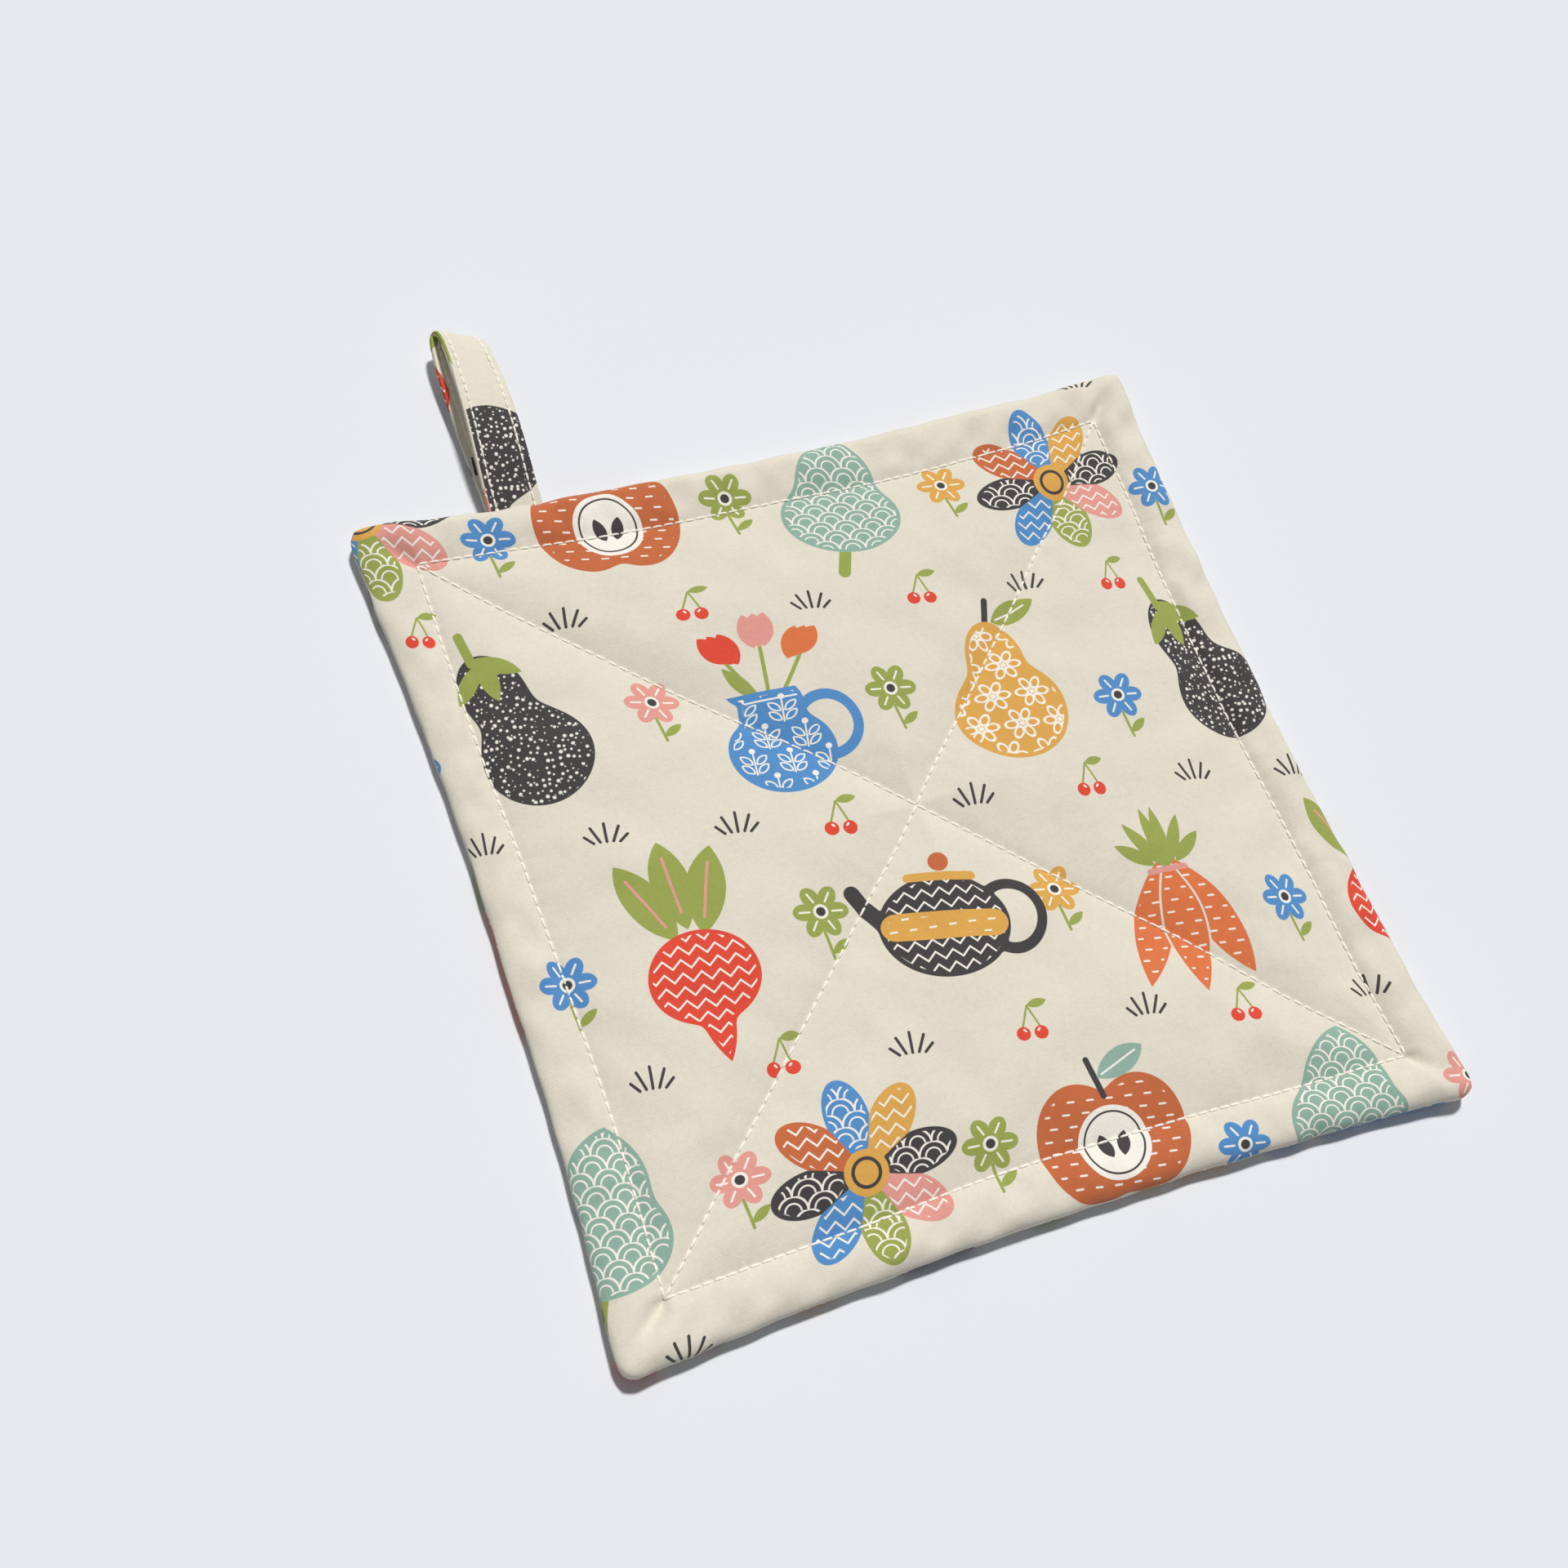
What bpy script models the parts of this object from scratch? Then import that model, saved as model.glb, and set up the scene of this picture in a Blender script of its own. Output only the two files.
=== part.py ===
"""Quilted pot holder: a square padded mat with a hanging loop, lying flat on its back.

The mat is two printed cotton faces over wadding, seamed round the edge and turned out.
A stitched square half an inch in from the edge and two stitched diagonals hold the layers
together, so the filling stands up between the lines in a border and four triangles. The loop
is a flat stitched strap, folded in two, whose ends are caught in the seam of one side.

Units are metres, +Z is up and the mat's underside lies at Z = 0. +X runs along the side
away from the loop, +Y towards the loop. Angles are in degrees.
"""

import bpy
import numpy as np

MM = 0.001

# The mat in plan
TIP_HALF = 111.4 * MM  # from the middle to the outermost point of a corner
SIDE_DRAW_IN = 4.1 * MM  # how far each side bows in at its middle
DRAW_IN_FADE = 4.8  # power by which the bow fades from the edge to the middle
CORNER_RADIUS = 5.5 * MM
STITCH_HALF = 97.8 * MM  # from the middle to a corner of the stitched square
CROSSING_SHIFT = 3.3 * MM  # the diagonals cross this far off the middle, towards +X

# The mat in height
SEAM_HEIGHT = 3.2 * MM  # the seam that joins the two faces, round the rolled edge
PUFF_HEIGHT = 6.9 * MM  # top of the filling beside the channels
CROWN_RISE = 1.2 * MM  # how much higher each triangle stands in its middle
BORDER_HEIGHT = 6.9 * MM
STITCH_TOP = 4.9 * MM  # the upper face where a stitch line holds it down
STITCH_UNDER = 0.9 * MM  # the underside where a stitch line lifts it
CORNER_LIFT = 0.9 * MM  # the stiff corners stand this far off the surface
LIFT_REACH = 30.0 * MM  # measured in from each corner
CHANNEL_REACH = 9.0 * MM  # from a stitch line to where the filling is level again
UNDER_REACH = 7.0 * MM
BORDER_REACH = 5.0 * MM
CROWN_REACH = 40.0 * MM
EDGE_ROLL = 5.0 * MM  # width of the rounded edge in plan

# The mat's grid
PANEL_CELLS = 15  # from the middle to the channel of the stitched square
CHANNEL_LINES = (-5.0 * MM, -2.0 * MM, 0.0, 2.0 * MM, 5.0 * MM)
ROLL_STEPS = 4

# The loop
STRAP_WIDTH = 14.5 * MM
STRAP_THICKNESS = 1.4 * MM
STRAP_EDGE = 0.5 * MM  # width of the slope along each folded edge
LOOP_CENTRE_X = -67.7 * MM
LOOP_REACH = 57.0 * MM  # from the mat's edge to the fold
LOOP_BOW = 3.7 * MM  # half of the gap between the two legs
LOOP_BOW_POWER = 0.85  # below 1 puts the widest place nearer the mat than the fold
FOLD_BOW = 3.5 * MM  # opens the fold to a round one
FOLD_BOW_FADE = 4  # power by which that fades towards the mat
ROOT_HALF_GAP = 0.85 * MM  # each leg's middle above and below the seam
ROOT_CLEARANCE = 0.6 * MM  # from the mat's edge to the middle of each cut end
LOOP_ROLL = 28.0  # the strap turns this far about its length by the fold, -X side up
LOOP_ROLL_POWER = 1.8
FLOOR_CLEARANCE = 0.2 * MM
SAG_REACH = 0.4  # share of the reach in which the lower leg comes down from the seam
LOOP_STATIONS = 57

# The outside of both pieces is centred on the origin
CENTRE_SHIFT_Y = -0.5 * (LOOP_REACH - SIDE_DRAW_IN)

COTTON_CREAM = (0.70, 0.65, 0.56, 1.0)
STRAP_CREAM = (0.66, 0.60, 0.50, 1.0)


def clear_scene():
    for old in list(bpy.data.objects):
        bpy.data.objects.remove(old, do_unlink=True)


def cotton(name, colour):
    """A matt woven cotton in one colour."""
    material = bpy.data.materials.new(name)
    material.use_nodes = True
    shader = material.node_tree.nodes["Principled BSDF"]
    shader.inputs["Base Color"].default_value = colour
    shader.inputs["Roughness"].default_value = 0.9
    shader.inputs["Metallic"].default_value = 0.0
    return material


def add_piece(name, points, faces, material):
    """One named object at the origin, with its place in its mesh."""
    mesh = bpy.data.meshes.new(name)
    mesh.from_pydata(points.tolist(), [], faces)
    mesh.materials.append(material)
    mesh.shade_smooth()
    mesh.update()
    piece = bpy.data.objects.new(name, mesh)
    bpy.context.scene.collection.objects.link(piece)
    return piece


def rise(distance, reach):
    """0 on a stitch line and 1 from reach onwards, steepest beside the thread."""
    share = np.clip(distance / reach, 0.0, 1.0)
    return 1.0 - (1.0 - share) ** 2


def smooth(share):
    share = np.clip(share, 0.0, 1.0)
    return share * share * (3.0 - 2.0 * share)


def grid_lines():
    """Line positions over the cut square, from side to side, closer at channels and edge."""
    channel = STITCH_HALF + np.array(CHANNEL_LINES)
    panel = np.linspace(0.0, channel[0], PANEL_CELLS, endpoint=False)
    turn = np.radians(np.linspace(90.0, 0.0, ROLL_STEPS + 1))
    roll = TIP_HALF - EDGE_ROLL * (1.0 - np.cos(turn))
    half = np.concatenate([panel, channel, roll])
    return np.concatenate([-half[:0:-1], half])


def round_corner(a, b):
    """Carries the last square of each corner onto a quarter disc of CORNER_RADIUS."""
    start = TIP_HALF - CORNER_RADIUS
    over_a = np.maximum(np.abs(a) - start, 0.0)
    over_b = np.maximum(np.abs(b) - start, 0.0)
    pull_a = over_a * (1.0 - np.sqrt(1.0 - 0.5 * (over_b / CORNER_RADIUS) ** 2))
    pull_b = over_b * (1.0 - np.sqrt(1.0 - 0.5 * (over_a / CORNER_RADIUS) ** 2))
    return a - np.sign(a) * pull_a, b - np.sign(b) * pull_b


def mat_plan(a, b):
    """X and Y of a place (a, b) on the cut square.

    Each coordinate is drawn in by the bow of its side, most at the side's middle. The
    crossing of the diagonals is moved off the middle, and the cloth round it less and less.
    """
    along_a, along_b = np.abs(a / TIP_HALF), np.abs(b / TIP_HALF)
    bow_a = SIDE_DRAW_IN * along_a**DRAW_IN_FADE * (1.0 - along_b**2)
    bow_b = SIDE_DRAW_IN * along_b**DRAW_IN_FADE * (1.0 - along_a**2)
    middle = (1.0 - along_a**2) * (1.0 - along_b**2)
    x, y = round_corner(a, b)
    return x - np.sign(a) * bow_a + CROSSING_SHIFT * middle, y - np.sign(b) * bow_b


def mat_edge(x):
    """Y of the seam along the loop's side of the mat, before the piece is centred."""
    return TIP_HALF - SIDE_DRAW_IN * (1.0 - (x / TIP_HALF) ** 2)


def mat_heights(a, b):
    """Z of the upper and the lower face at (a, b).

    The filling is level away from the stitch lines and falls to each of them. Along the
    edge both faces turn to the seam in a quarter circle.
    """
    outward = np.maximum(np.abs(a), np.abs(b))
    to_square = np.abs(STITCH_HALF - outward)
    to_diagonal = np.abs(np.abs(a) - np.abs(b)) / np.sqrt(2.0)
    in_panel = outward < STITCH_HALF
    nearest = np.minimum(to_square, to_diagonal)

    panel = rise(to_square, CHANNEL_REACH) * rise(to_diagonal, CHANNEL_REACH)
    panel_top = STITCH_TOP + (PUFF_HEIGHT - STITCH_TOP) * panel
    panel_top = panel_top + CROWN_RISE * rise(nearest, CROWN_REACH)
    border_top = STITCH_TOP + (BORDER_HEIGHT - STITCH_TOP) * rise(to_square, BORDER_REACH)
    top = np.where(in_panel, panel_top, border_top)

    under_panel = rise(to_square, UNDER_REACH) * rise(to_diagonal, UNDER_REACH)
    under_border = rise(to_square, BORDER_REACH)
    under = STITCH_UNDER * (1.0 - np.where(in_panel, under_panel, under_border))

    rolled = rise(TIP_HALF - outward, EDGE_ROLL) ** 0.5
    top = SEAM_HEIGHT + (top - SEAM_HEIGHT) * rolled
    under = SEAM_HEIGHT + (under - SEAM_HEIGHT) * rolled
    from_corner = np.hypot(TIP_HALF - np.abs(a), TIP_HALF - np.abs(b))
    lift = CORNER_LIFT * (1.0 - smooth(from_corner / LIFT_REACH))
    return top + lift, under + lift


def quilted_pad():
    """One closed solid: an upper and a lower face on one grid, which meet at the seam."""
    lines = grid_lines()
    count = len(lines)
    a, b = np.meshgrid(lines, lines, indexing="ij")
    x, y = mat_plan(a, b)
    top, under = mat_heights(a, b)
    seam = np.zeros((count, count), bool)
    seam[[0, -1], :] = seam[:, [0, -1]] = True

    upper = np.arange(count * count).reshape(count, count)
    lower = upper.copy()
    lower[~seam] = count * count + np.arange((~seam).sum())
    points = np.concatenate(
        [
            np.stack([x, y, top], axis=-1).reshape(-1, 3),
            np.stack([x, y, under], axis=-1)[~seam],
        ]
    )
    points[:, 1] += CENTRE_SHIFT_Y

    faces = []
    for i in range(count - 1):
        for j in range(count - 1):
            # A face folds from its first corner to its third, so its crease lies along
            # the diagonal of the mat that runs through its quarter.
            same_sign = (lines[i] + lines[i + 1]) * (lines[j] + lines[j + 1]) > 0
            corners = [(i, j), (i + 1, j), (i + 1, j + 1), (i, j + 1)]
            if not same_sign:
                corners = corners[1:] + corners[:1]
            faces.append([int(upper[c]) for c in corners])
            faces.append([int(lower[c]) for c in (corners[0], *corners[:0:-1])])
    return add_piece("quilted_pad", points, faces, cotton("printed_cotton", COTTON_CREAM))


def loop_path(turn):
    """Places along the folded strap's middle line, for turn from -1 to 1.

    -1 is the lower leg's end, 0 the fold and 1 the upper leg's end. The reach follows a
    cosine. The legs part in one arch from the seam to the fold, and a second, shorter one
    opens the fold itself. Gives the share of the reach, and the distance from the plane
    between the legs.
    """
    share = np.cos(0.5 * np.pi * turn)
    leg = np.sign(turn) * np.sin(np.pi * share**LOOP_BOW_POWER)
    fold = np.sin(np.pi * turn) * share**FOLD_BOW_FADE
    root = np.sin(0.5 * np.pi * turn)
    return share, LOOP_BOW * leg + FOLD_BOW * fold + ROOT_HALF_GAP * root


def loop_frame(turn):
    """Centre, width direction and outward direction of the strap's section at each turn."""
    share, offset = loop_path(turn)
    roll = np.radians(LOOP_ROLL) * share**LOOP_ROLL_POWER
    across = np.stack([np.cos(roll), 0.0 * roll, -np.sin(roll)], axis=-1)
    away = np.stack([np.sin(roll), 0.0 * roll, np.cos(roll)], axis=-1)

    half_width, half_thickness = 0.5 * STRAP_WIDTH, 0.5 * STRAP_THICKNESS
    resting = np.abs(offset) * np.cos(roll) + half_width * np.sin(roll)
    resting = resting + half_thickness + FLOOR_CLEARANCE
    root = SEAM_HEIGHT - ROOT_HALF_GAP - half_thickness - FLOOR_CLEARANCE
    middle_height = resting + root * (1.0 - smooth(share / SAG_REACH))

    root_y = mat_edge(LOOP_CENTRE_X - half_width) + ROOT_CLEARANCE
    tip_y = TIP_HALF - SIDE_DRAW_IN + LOOP_REACH
    centre = np.stack(
        [
            LOOP_CENTRE_X + 0.0 * turn,
            root_y + (tip_y - half_thickness - root_y) * share + CENTRE_SHIFT_Y,
            middle_height,
        ],
        axis=-1,
    )
    centre = centre + offset[:, None] * away
    along = np.gradient(centre, turn, axis=0)
    outward = np.cross(along, across)
    outward = outward / np.linalg.norm(outward, axis=1, keepdims=True)
    return centre, across, outward


def hanging_loop():
    """One strap solid: a flat section with sloped edges, carried along the folded path."""
    turn = np.linspace(-1.0, 1.0, LOOP_STATIONS)
    centre, across, outward = loop_frame(turn)
    wide, flat, thick = 0.5 * STRAP_WIDTH, 0.5 * STRAP_WIDTH - STRAP_EDGE, 0.5 * STRAP_THICKNESS
    section = np.array(
        [
            (-wide, 0.0),
            (-flat, -thick),
            (0.0, -thick),
            (flat, -thick),
            (wide, 0.0),
            (flat, thick),
            (0.0, thick),
            (-flat, thick),
        ]
    )
    sides = len(section)
    points = (
        centre[:, None, :]
        + section[None, :, :1] * across[:, None, :]
        + section[None, :, 1:] * outward[:, None, :]
    ).reshape(-1, 3)
    faces = [list(range(sides))[::-1]]
    for station in range(LOOP_STATIONS - 1):
        ring, following = station * sides, (station + 1) * sides
        for side in range(sides):
            after = (side + 1) % sides
            faces.append([ring + side, ring + after, following + after, following + side])
    faces.append([(LOOP_STATIONS - 1) * sides + side for side in range(sides)])
    return add_piece("hanging_loop", points, faces, cotton("printed_strap", STRAP_CREAM))


clear_scene()
quilted_pad()
hanging_loop()
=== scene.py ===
# %% [markdown]
# # A quilted pot holder
#
# A pot holder of this kind is two squares of printed quilting cotton with wadding between
# them. The squares are sewn together inside out, turned, and then stitched through: once
# round the square half an inch inside the edge, and once along each diagonal. A folded strap
# is caught in the seam of one side to hang it by.
#
# The script dresses a fixed frame, the solids of the mat and of its loop. It makes one piece
# for each thing a maker handles: the padded mat, the strap, and the sewing thread. Shapes are
# worked out in millimetres and put into the meshes in metres.

import math

import bpy
import numpy as np
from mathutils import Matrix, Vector


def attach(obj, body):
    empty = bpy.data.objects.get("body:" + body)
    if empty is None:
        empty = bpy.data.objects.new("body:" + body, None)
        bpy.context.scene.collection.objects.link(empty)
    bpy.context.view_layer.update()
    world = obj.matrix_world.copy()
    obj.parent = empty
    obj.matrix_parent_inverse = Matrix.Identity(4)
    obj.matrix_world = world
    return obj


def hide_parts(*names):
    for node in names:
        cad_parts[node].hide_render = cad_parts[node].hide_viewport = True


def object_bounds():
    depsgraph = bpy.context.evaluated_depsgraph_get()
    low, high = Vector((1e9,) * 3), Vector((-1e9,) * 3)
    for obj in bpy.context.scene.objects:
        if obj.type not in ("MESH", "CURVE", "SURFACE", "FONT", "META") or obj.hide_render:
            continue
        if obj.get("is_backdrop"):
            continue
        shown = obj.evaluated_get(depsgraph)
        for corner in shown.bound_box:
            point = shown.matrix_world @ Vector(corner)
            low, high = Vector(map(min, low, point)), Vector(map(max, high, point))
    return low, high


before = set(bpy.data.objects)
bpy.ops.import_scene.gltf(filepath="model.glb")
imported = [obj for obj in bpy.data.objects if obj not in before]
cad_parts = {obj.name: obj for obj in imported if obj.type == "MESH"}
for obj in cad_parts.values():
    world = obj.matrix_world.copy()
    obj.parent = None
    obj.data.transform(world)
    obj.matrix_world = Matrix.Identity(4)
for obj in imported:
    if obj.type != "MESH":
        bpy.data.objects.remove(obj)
cad_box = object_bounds()
MM = 0.001
print("nodes:", sorted(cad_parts), "box in mm:", [round(s / MM, 1) for s in cad_box[1]])

# %% [markdown]
# ## Four helpers
#
# Everything below is an array of points and an array of faces, so one helper turns such
# arrays into a mesh. `foreach_set` hands a whole array to Blender at once, which is far quicker
# than adding points one by one. A second helper adds one shader node with its settings and
# its links, so that a material reads as a list of steps, and a third makes the empty material
# that they go into. The last turns the hex colours of a paint chart into the linear values
# that a renderer adds and multiplies.

# %% Meshes, nodes and colours


def add_piece(name, points, faces, materials, corner_uv=None, face_material=None):
    """A smooth mesh object at the origin, from points in millimetres.

    faces is a list of arrays, one row of point numbers for each face; corner_uv has one
    (u, v) for each corner of each face, in the same order.
    """
    mesh = bpy.data.meshes.new(name)
    corners = np.concatenate([group.ravel() for group in faces])
    sizes = np.concatenate([np.full(len(group), group.shape[1]) for group in faces])
    mesh.vertices.add(len(points))
    mesh.vertices.foreach_set("co", (points * MM).astype(np.float32).ravel())
    mesh.loops.add(len(corners))
    mesh.loops.foreach_set("vertex_index", corners.astype(np.int32))
    mesh.polygons.add(len(sizes))
    mesh.polygons.foreach_set("loop_start", (np.cumsum(sizes) - sizes).astype(np.int32))
    if corner_uv is not None:
        layer = mesh.uv_layers.new(name="cloth_mm")
        layer.uv.foreach_set("vector", corner_uv.astype(np.float32).ravel())
    for material in materials:
        mesh.materials.append(material)
    if face_material is not None:
        mesh.polygons.foreach_set("material_index", face_material.astype(np.int32))
    mesh.update(calc_edges=True)
    mesh.shade_smooth()
    piece = bpy.data.objects.new(name, mesh)
    bpy.context.scene.collection.objects.link(piece)
    triangles = int((sizes - 2).sum())
    print(f"{name}: {len(points)} points, {triangles} triangles")
    return piece


def node(kind, *values, tree=None, **settings):
    """Adds one shader node and returns its first live output.

    kind may name an operation after a space, as in "Math ADD". values fill the node's live
    inputs in order, and a socket is linked. A setting is a property of the node, or else an
    input's name with _ for each space. The node joins the tree of the first socket it gets.
    """
    if tree is None:
        given = [*values, *settings.values()]
        tree = next(value.id_data for value in given if isinstance(value, bpy.types.NodeSocket))
    kind, _, operation = kind.partition(" ")
    made = tree.nodes.new("ShaderNode" + kind)
    if operation:
        made.operation = operation
    named = []
    for name, value in settings.items():
        if hasattr(made, name):
            setattr(made, name, value)
        else:
            named.append((made.inputs[name.replace("_", " ")], value))
    ordered = zip([socket for socket in made.inputs if socket.enabled], values)
    for socket, value in [*ordered, *named]:
        if isinstance(value, bpy.types.NodeSocket):
            tree.links.new(value, socket)
        else:
            socket.default_value = value
    return next((socket for socket in made.outputs if socket.enabled), None)


def blank_material(name):
    """A new material and its node tree, with nothing in it."""
    material = bpy.data.materials.new(name)
    material.use_nodes = True
    material.node_tree.nodes.clear()
    return material, material.node_tree


def linear(code):
    """An sRGB hex colour such as "#ddd5c5" as linear red, green, blue and alpha."""
    channels = [int(code[i : i + 2], 16) / 255 for i in (1, 3, 5)]
    return (*[c / 12.92 if c <= 0.04045 else ((c + 0.055) / 1.055) ** 2.4 for c in channels], 1.0)


# %% [markdown]
# ## The camera
#
# The mat was photographed from above its near left corner, with the camera leaning. The
# view is given by where the camera looks, from how far, from which side, and how far it is
# rolled about its own axis. A camera looks along its local -Z, so its matrix is built from
# three perpendicular directions: right, up and back.

# %% The camera
LOOKS_AT = (-27.1, -11.9, 4.9)  # mm
DISTANCE = 531.4  # mm
AZIMUTH, ELEVATION, ROLL = -39.7, 61.85, 21.75  # degrees
PICTURE_SIZE = 1920  # pixels, both ways
FOCAL_PIXELS = 2619.6
SENSOR = 36.0  # mm

turn, rise_by, roll = np.radians([AZIMUTH, ELEVATION, ROLL])
back = np.array(
    [np.sin(turn) * np.cos(rise_by), -np.cos(turn) * np.cos(rise_by), np.sin(rise_by)]
)
level = np.array([np.cos(turn), np.sin(turn), 0.0])
upright = np.cross(back, level)
axes = np.eye(4)
axes[:3, 0] = np.cos(roll) * level + np.sin(roll) * upright
axes[:3, 1] = np.cos(roll) * upright - np.sin(roll) * level
axes[:3, 2] = back
axes[:3, 3] = (np.array(LOOKS_AT) + DISTANCE * back) * MM

lens = bpy.data.cameras.new("camera")
lens.sensor_width = SENSOR
lens.lens = FOCAL_PIXELS * SENSOR / PICTURE_SIZE
lens.clip_start = 0.01
camera = bpy.data.objects.new("camera", lens)
camera.matrix_world = axes.T.tolist()
bpy.context.scene.collection.objects.link(camera)
bpy.context.scene.camera = camera
print(f"lens {lens.lens:.1f} mm, camera {axes[2, 3]:.3f} m above the floor")

# %% [markdown]
# ## The floor and the light
#
# A plain pale floor and soft light show cloth best, because every rise and hollow then has
# its own shade. The key is a broad distant lamp high behind the loop's side: it rakes across
# the padding and leaves a soft shadow along the near edge, and being distant it lights the
# whole floor alike, from any side. A pale surrounding light fills the rest. The Standard view
# keeps printed colours as they are, where the default view would fade them.

# %% The floor and the light
FLOOR_SIZE = 12000.0  # mm
KEY_FROM = (0.21, 0.40, 0.89)  # direction towards the lamp
KEY_WIDTH = 7.0  # degrees across, as the mat sees it
KEY_STRENGTH = 2.95  # W on each square metre that faces it
SURROUND = 0.19

# A pressed laminate: pale, slightly blue, without gloss
floor_paint, tree = blank_material("table_white_laminate")
node("OutputMaterial", node("BsdfPrincipled", linear("#e6e9ef"), tree=tree, Roughness=0.9, IOR=1.45))
half_floor = 0.5 * FLOOR_SIZE
floor_points = np.array([(-1, -1, 0), (1, -1, 0), (1, 1, 0), (-1, 1, 0)]) * half_floor
floor = add_piece("floor", floor_points, [np.array([[0, 1, 2, 3]])], [floor_paint])
floor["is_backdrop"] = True

lamp = bpy.data.lights.new("key", "SUN")
lamp.angle = math.radians(KEY_WIDTH)
lamp.energy = KEY_STRENGTH
lamp.color = linear("#fffdf9")[:3]
key = bpy.data.objects.new("key", lamp)
towards = Vector(KEY_FROM).normalized()
key.matrix_world = towards.to_track_quat("Z", "Y").to_matrix().to_4x4()
bpy.context.scene.collection.objects.link(key)

world = bpy.data.worlds.new("studio")
world.use_nodes = True
world.node_tree.nodes.clear()
node("OutputWorld", node("Background", linear("#f1f4fa"), SURROUND, tree=world.node_tree))
bpy.context.scene.world = world
bpy.context.scene.view_settings.view_transform = "Standard"
print(f"key lamp {KEY_WIDTH} degrees wide, {math.degrees(math.asin(towards.z)):.0f} degrees high")

# %% [markdown]
# ## Drawing with distances
#
# The cloth is printed, so its colours have crisp edges at any size. Instead of a picture, each
# motif is a formula: the distance from a point of the cloth to the edge of a shape, in
# millimetres, below zero inside. Where the distance is below zero, ink goes on. A distance can
# be joined with another (the smaller of the two), cut by another (the larger), or turned
# into a line (its size, less half the pen's width), so a few functions draw everything.
# To move, turn or size a shape, the place is moved, turned or sized the other way first.
#
# The renderer has room for only 255 numbers at a time in one material, and works the nodes
# out in the order in which they were added, unless a link turns one kind of value into
# another. So all places here are plain vectors from VectorMath nodes: a Mapping node in
# between would put off everything behind it and fill that room.

# %% Shapes as distances
INK_EDGE = 0.07  # mm, half the width in which ink gives way to bare cloth


def local(p, at=(0, 0), turn=0, size=(1, 1)):
    """The place p as seen from a shape at a centre, turned by degrees and sized."""
    if any(at):
        p = node("VectorMath SUBTRACT", p, (*at, 0))
    if turn:
        p = node("VectorRotate", p, Angle=math.radians(-turn), rotation_type="Z_AXIS")
    if size != (1, 1):
        p = node("VectorMath DIVIDE", p, (*size, 1))
    return p


def oval(p, at, radii, turn=0):
    """Distance to an oval: the length of p in units of its radii, less one."""
    across = node("VectorMath LENGTH", local(p, at, turn, radii))
    return node("Math MULTIPLY_ADD", across, min(radii), -min(radii))


def disc(p, radius, at=(0, 0)):
    """Distance to a circle, which is an oval with equal radii."""
    return oval(p, at, (radius, radius))


def leaf(p, at, length, width, turn):
    """Distance to a pointed leaf: what two equal circles share, one mirrored by ABSOLUTE."""
    half, wide = 0.5 * length, 0.5 * width
    radius = (half**2 + wide**2) / (2 * wide)
    folded = node("VectorMath ABSOLUTE", local(p, at, turn))
    reach = node("VectorMath DISTANCE", folded, (0, wide - radius, 0))
    return node("Math SUBTRACT", reach, radius)


def stroke(p, start, end, width):
    """Distance to a straight pen stroke: to the nearest point between its two ends."""
    run = np.subtract(end, start)
    half = 0.5 * float(np.hypot(*run))
    middle = tuple(0.5 * np.add(start, end))
    q = local(p, middle, math.degrees(math.atan2(run[1], run[0])))
    nearest = node("VectorMath MINIMUM", q, (half, 0, 0))
    nearest = node("VectorMath MAXIMUM", nearest, (-half, 0, 0))
    return node("Math SUBTRACT", node("VectorMath DISTANCE", q, nearest), 0.5 * width)


# %% Shapes made of shapes
def joined(shapes, blend=0.0):
    """The shapes together: the smallest distance, rounded where they meet by blend."""
    total = shapes[0]
    for shape in shapes[1:]:
        total = node("Math SMOOTH_MIN", total, shape, blend)
    return total


def within(shape, limit, inset=0.0):
    """The part of a shape that lies inside another, kept inset from its edge."""
    return node("Math MAXIMUM", shape, node("Math ADD", limit, inset))


def line(shape, width):
    """The edge of a shape as a line of that width."""
    return node("Math SUBTRACT", node("Math ABSOLUTE", shape), 0.5 * width)


def mirrored(p):
    """Folds the plane so that its left half lies on its right half."""
    x, y, _ = node("SeparateXYZ", p).node.outputs
    return node("CombineXYZ", node("Math ABSOLUTE", x), y)


def around(p, count):
    """Folds the plane round its centre so that each of count petals lies along +X."""
    x, y, _ = node("SeparateXYZ", p).node.outputs
    step = 2 * math.pi / count
    angle = node("Math WRAP", node("Math ARCTAN2", y, x), 0.5 * step, -0.5 * step)
    reach = node("VectorMath LENGTH", p)
    turned_x = node("Math MULTIPLY", reach, node("Math COSINE", angle))
    turned_y = node("Math MULTIPLY", reach, node("Math SINE", angle))
    return node("CombineXYZ", turned_x, turned_y)


def painted(under, layers):
    """Inks shapes one after another over what is there, where their distance is below zero."""
    for shape, colour in layers:
        cover = node("MapRange", shape, -INK_EDGE, INK_EDGE, 1.0, 0.0)
        colour = linear(colour) if isinstance(colour, str) else colour
        under = node("Mix", cover, under, colour, data_type="RGBA")
    return under


# %% Repeats
def repeated(p, at, period, drop=0.0):
    """p seen from the nearest copy of a place that is repeated over the cloth.

    The copies lie in rows period[1] apart, and each row is moved on by drop.
    """
    away = node("VectorMath SUBTRACT", p, (*at, 0))
    if drop:
        _, up, _ = node("SeparateXYZ", away).node.outputs
        row = node("Math ROUND", node("Math DIVIDE", up, period[1]))
        moved = node("CombineXYZ", node("Math MULTIPLY", row, drop))
        away = node("VectorMath SUBTRACT", away, moved)
    half = (0.5 * period[0], 0.5 * period[1], 0)
    return node("VectorMath WRAP", away, half, tuple(-h for h in half))


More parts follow.
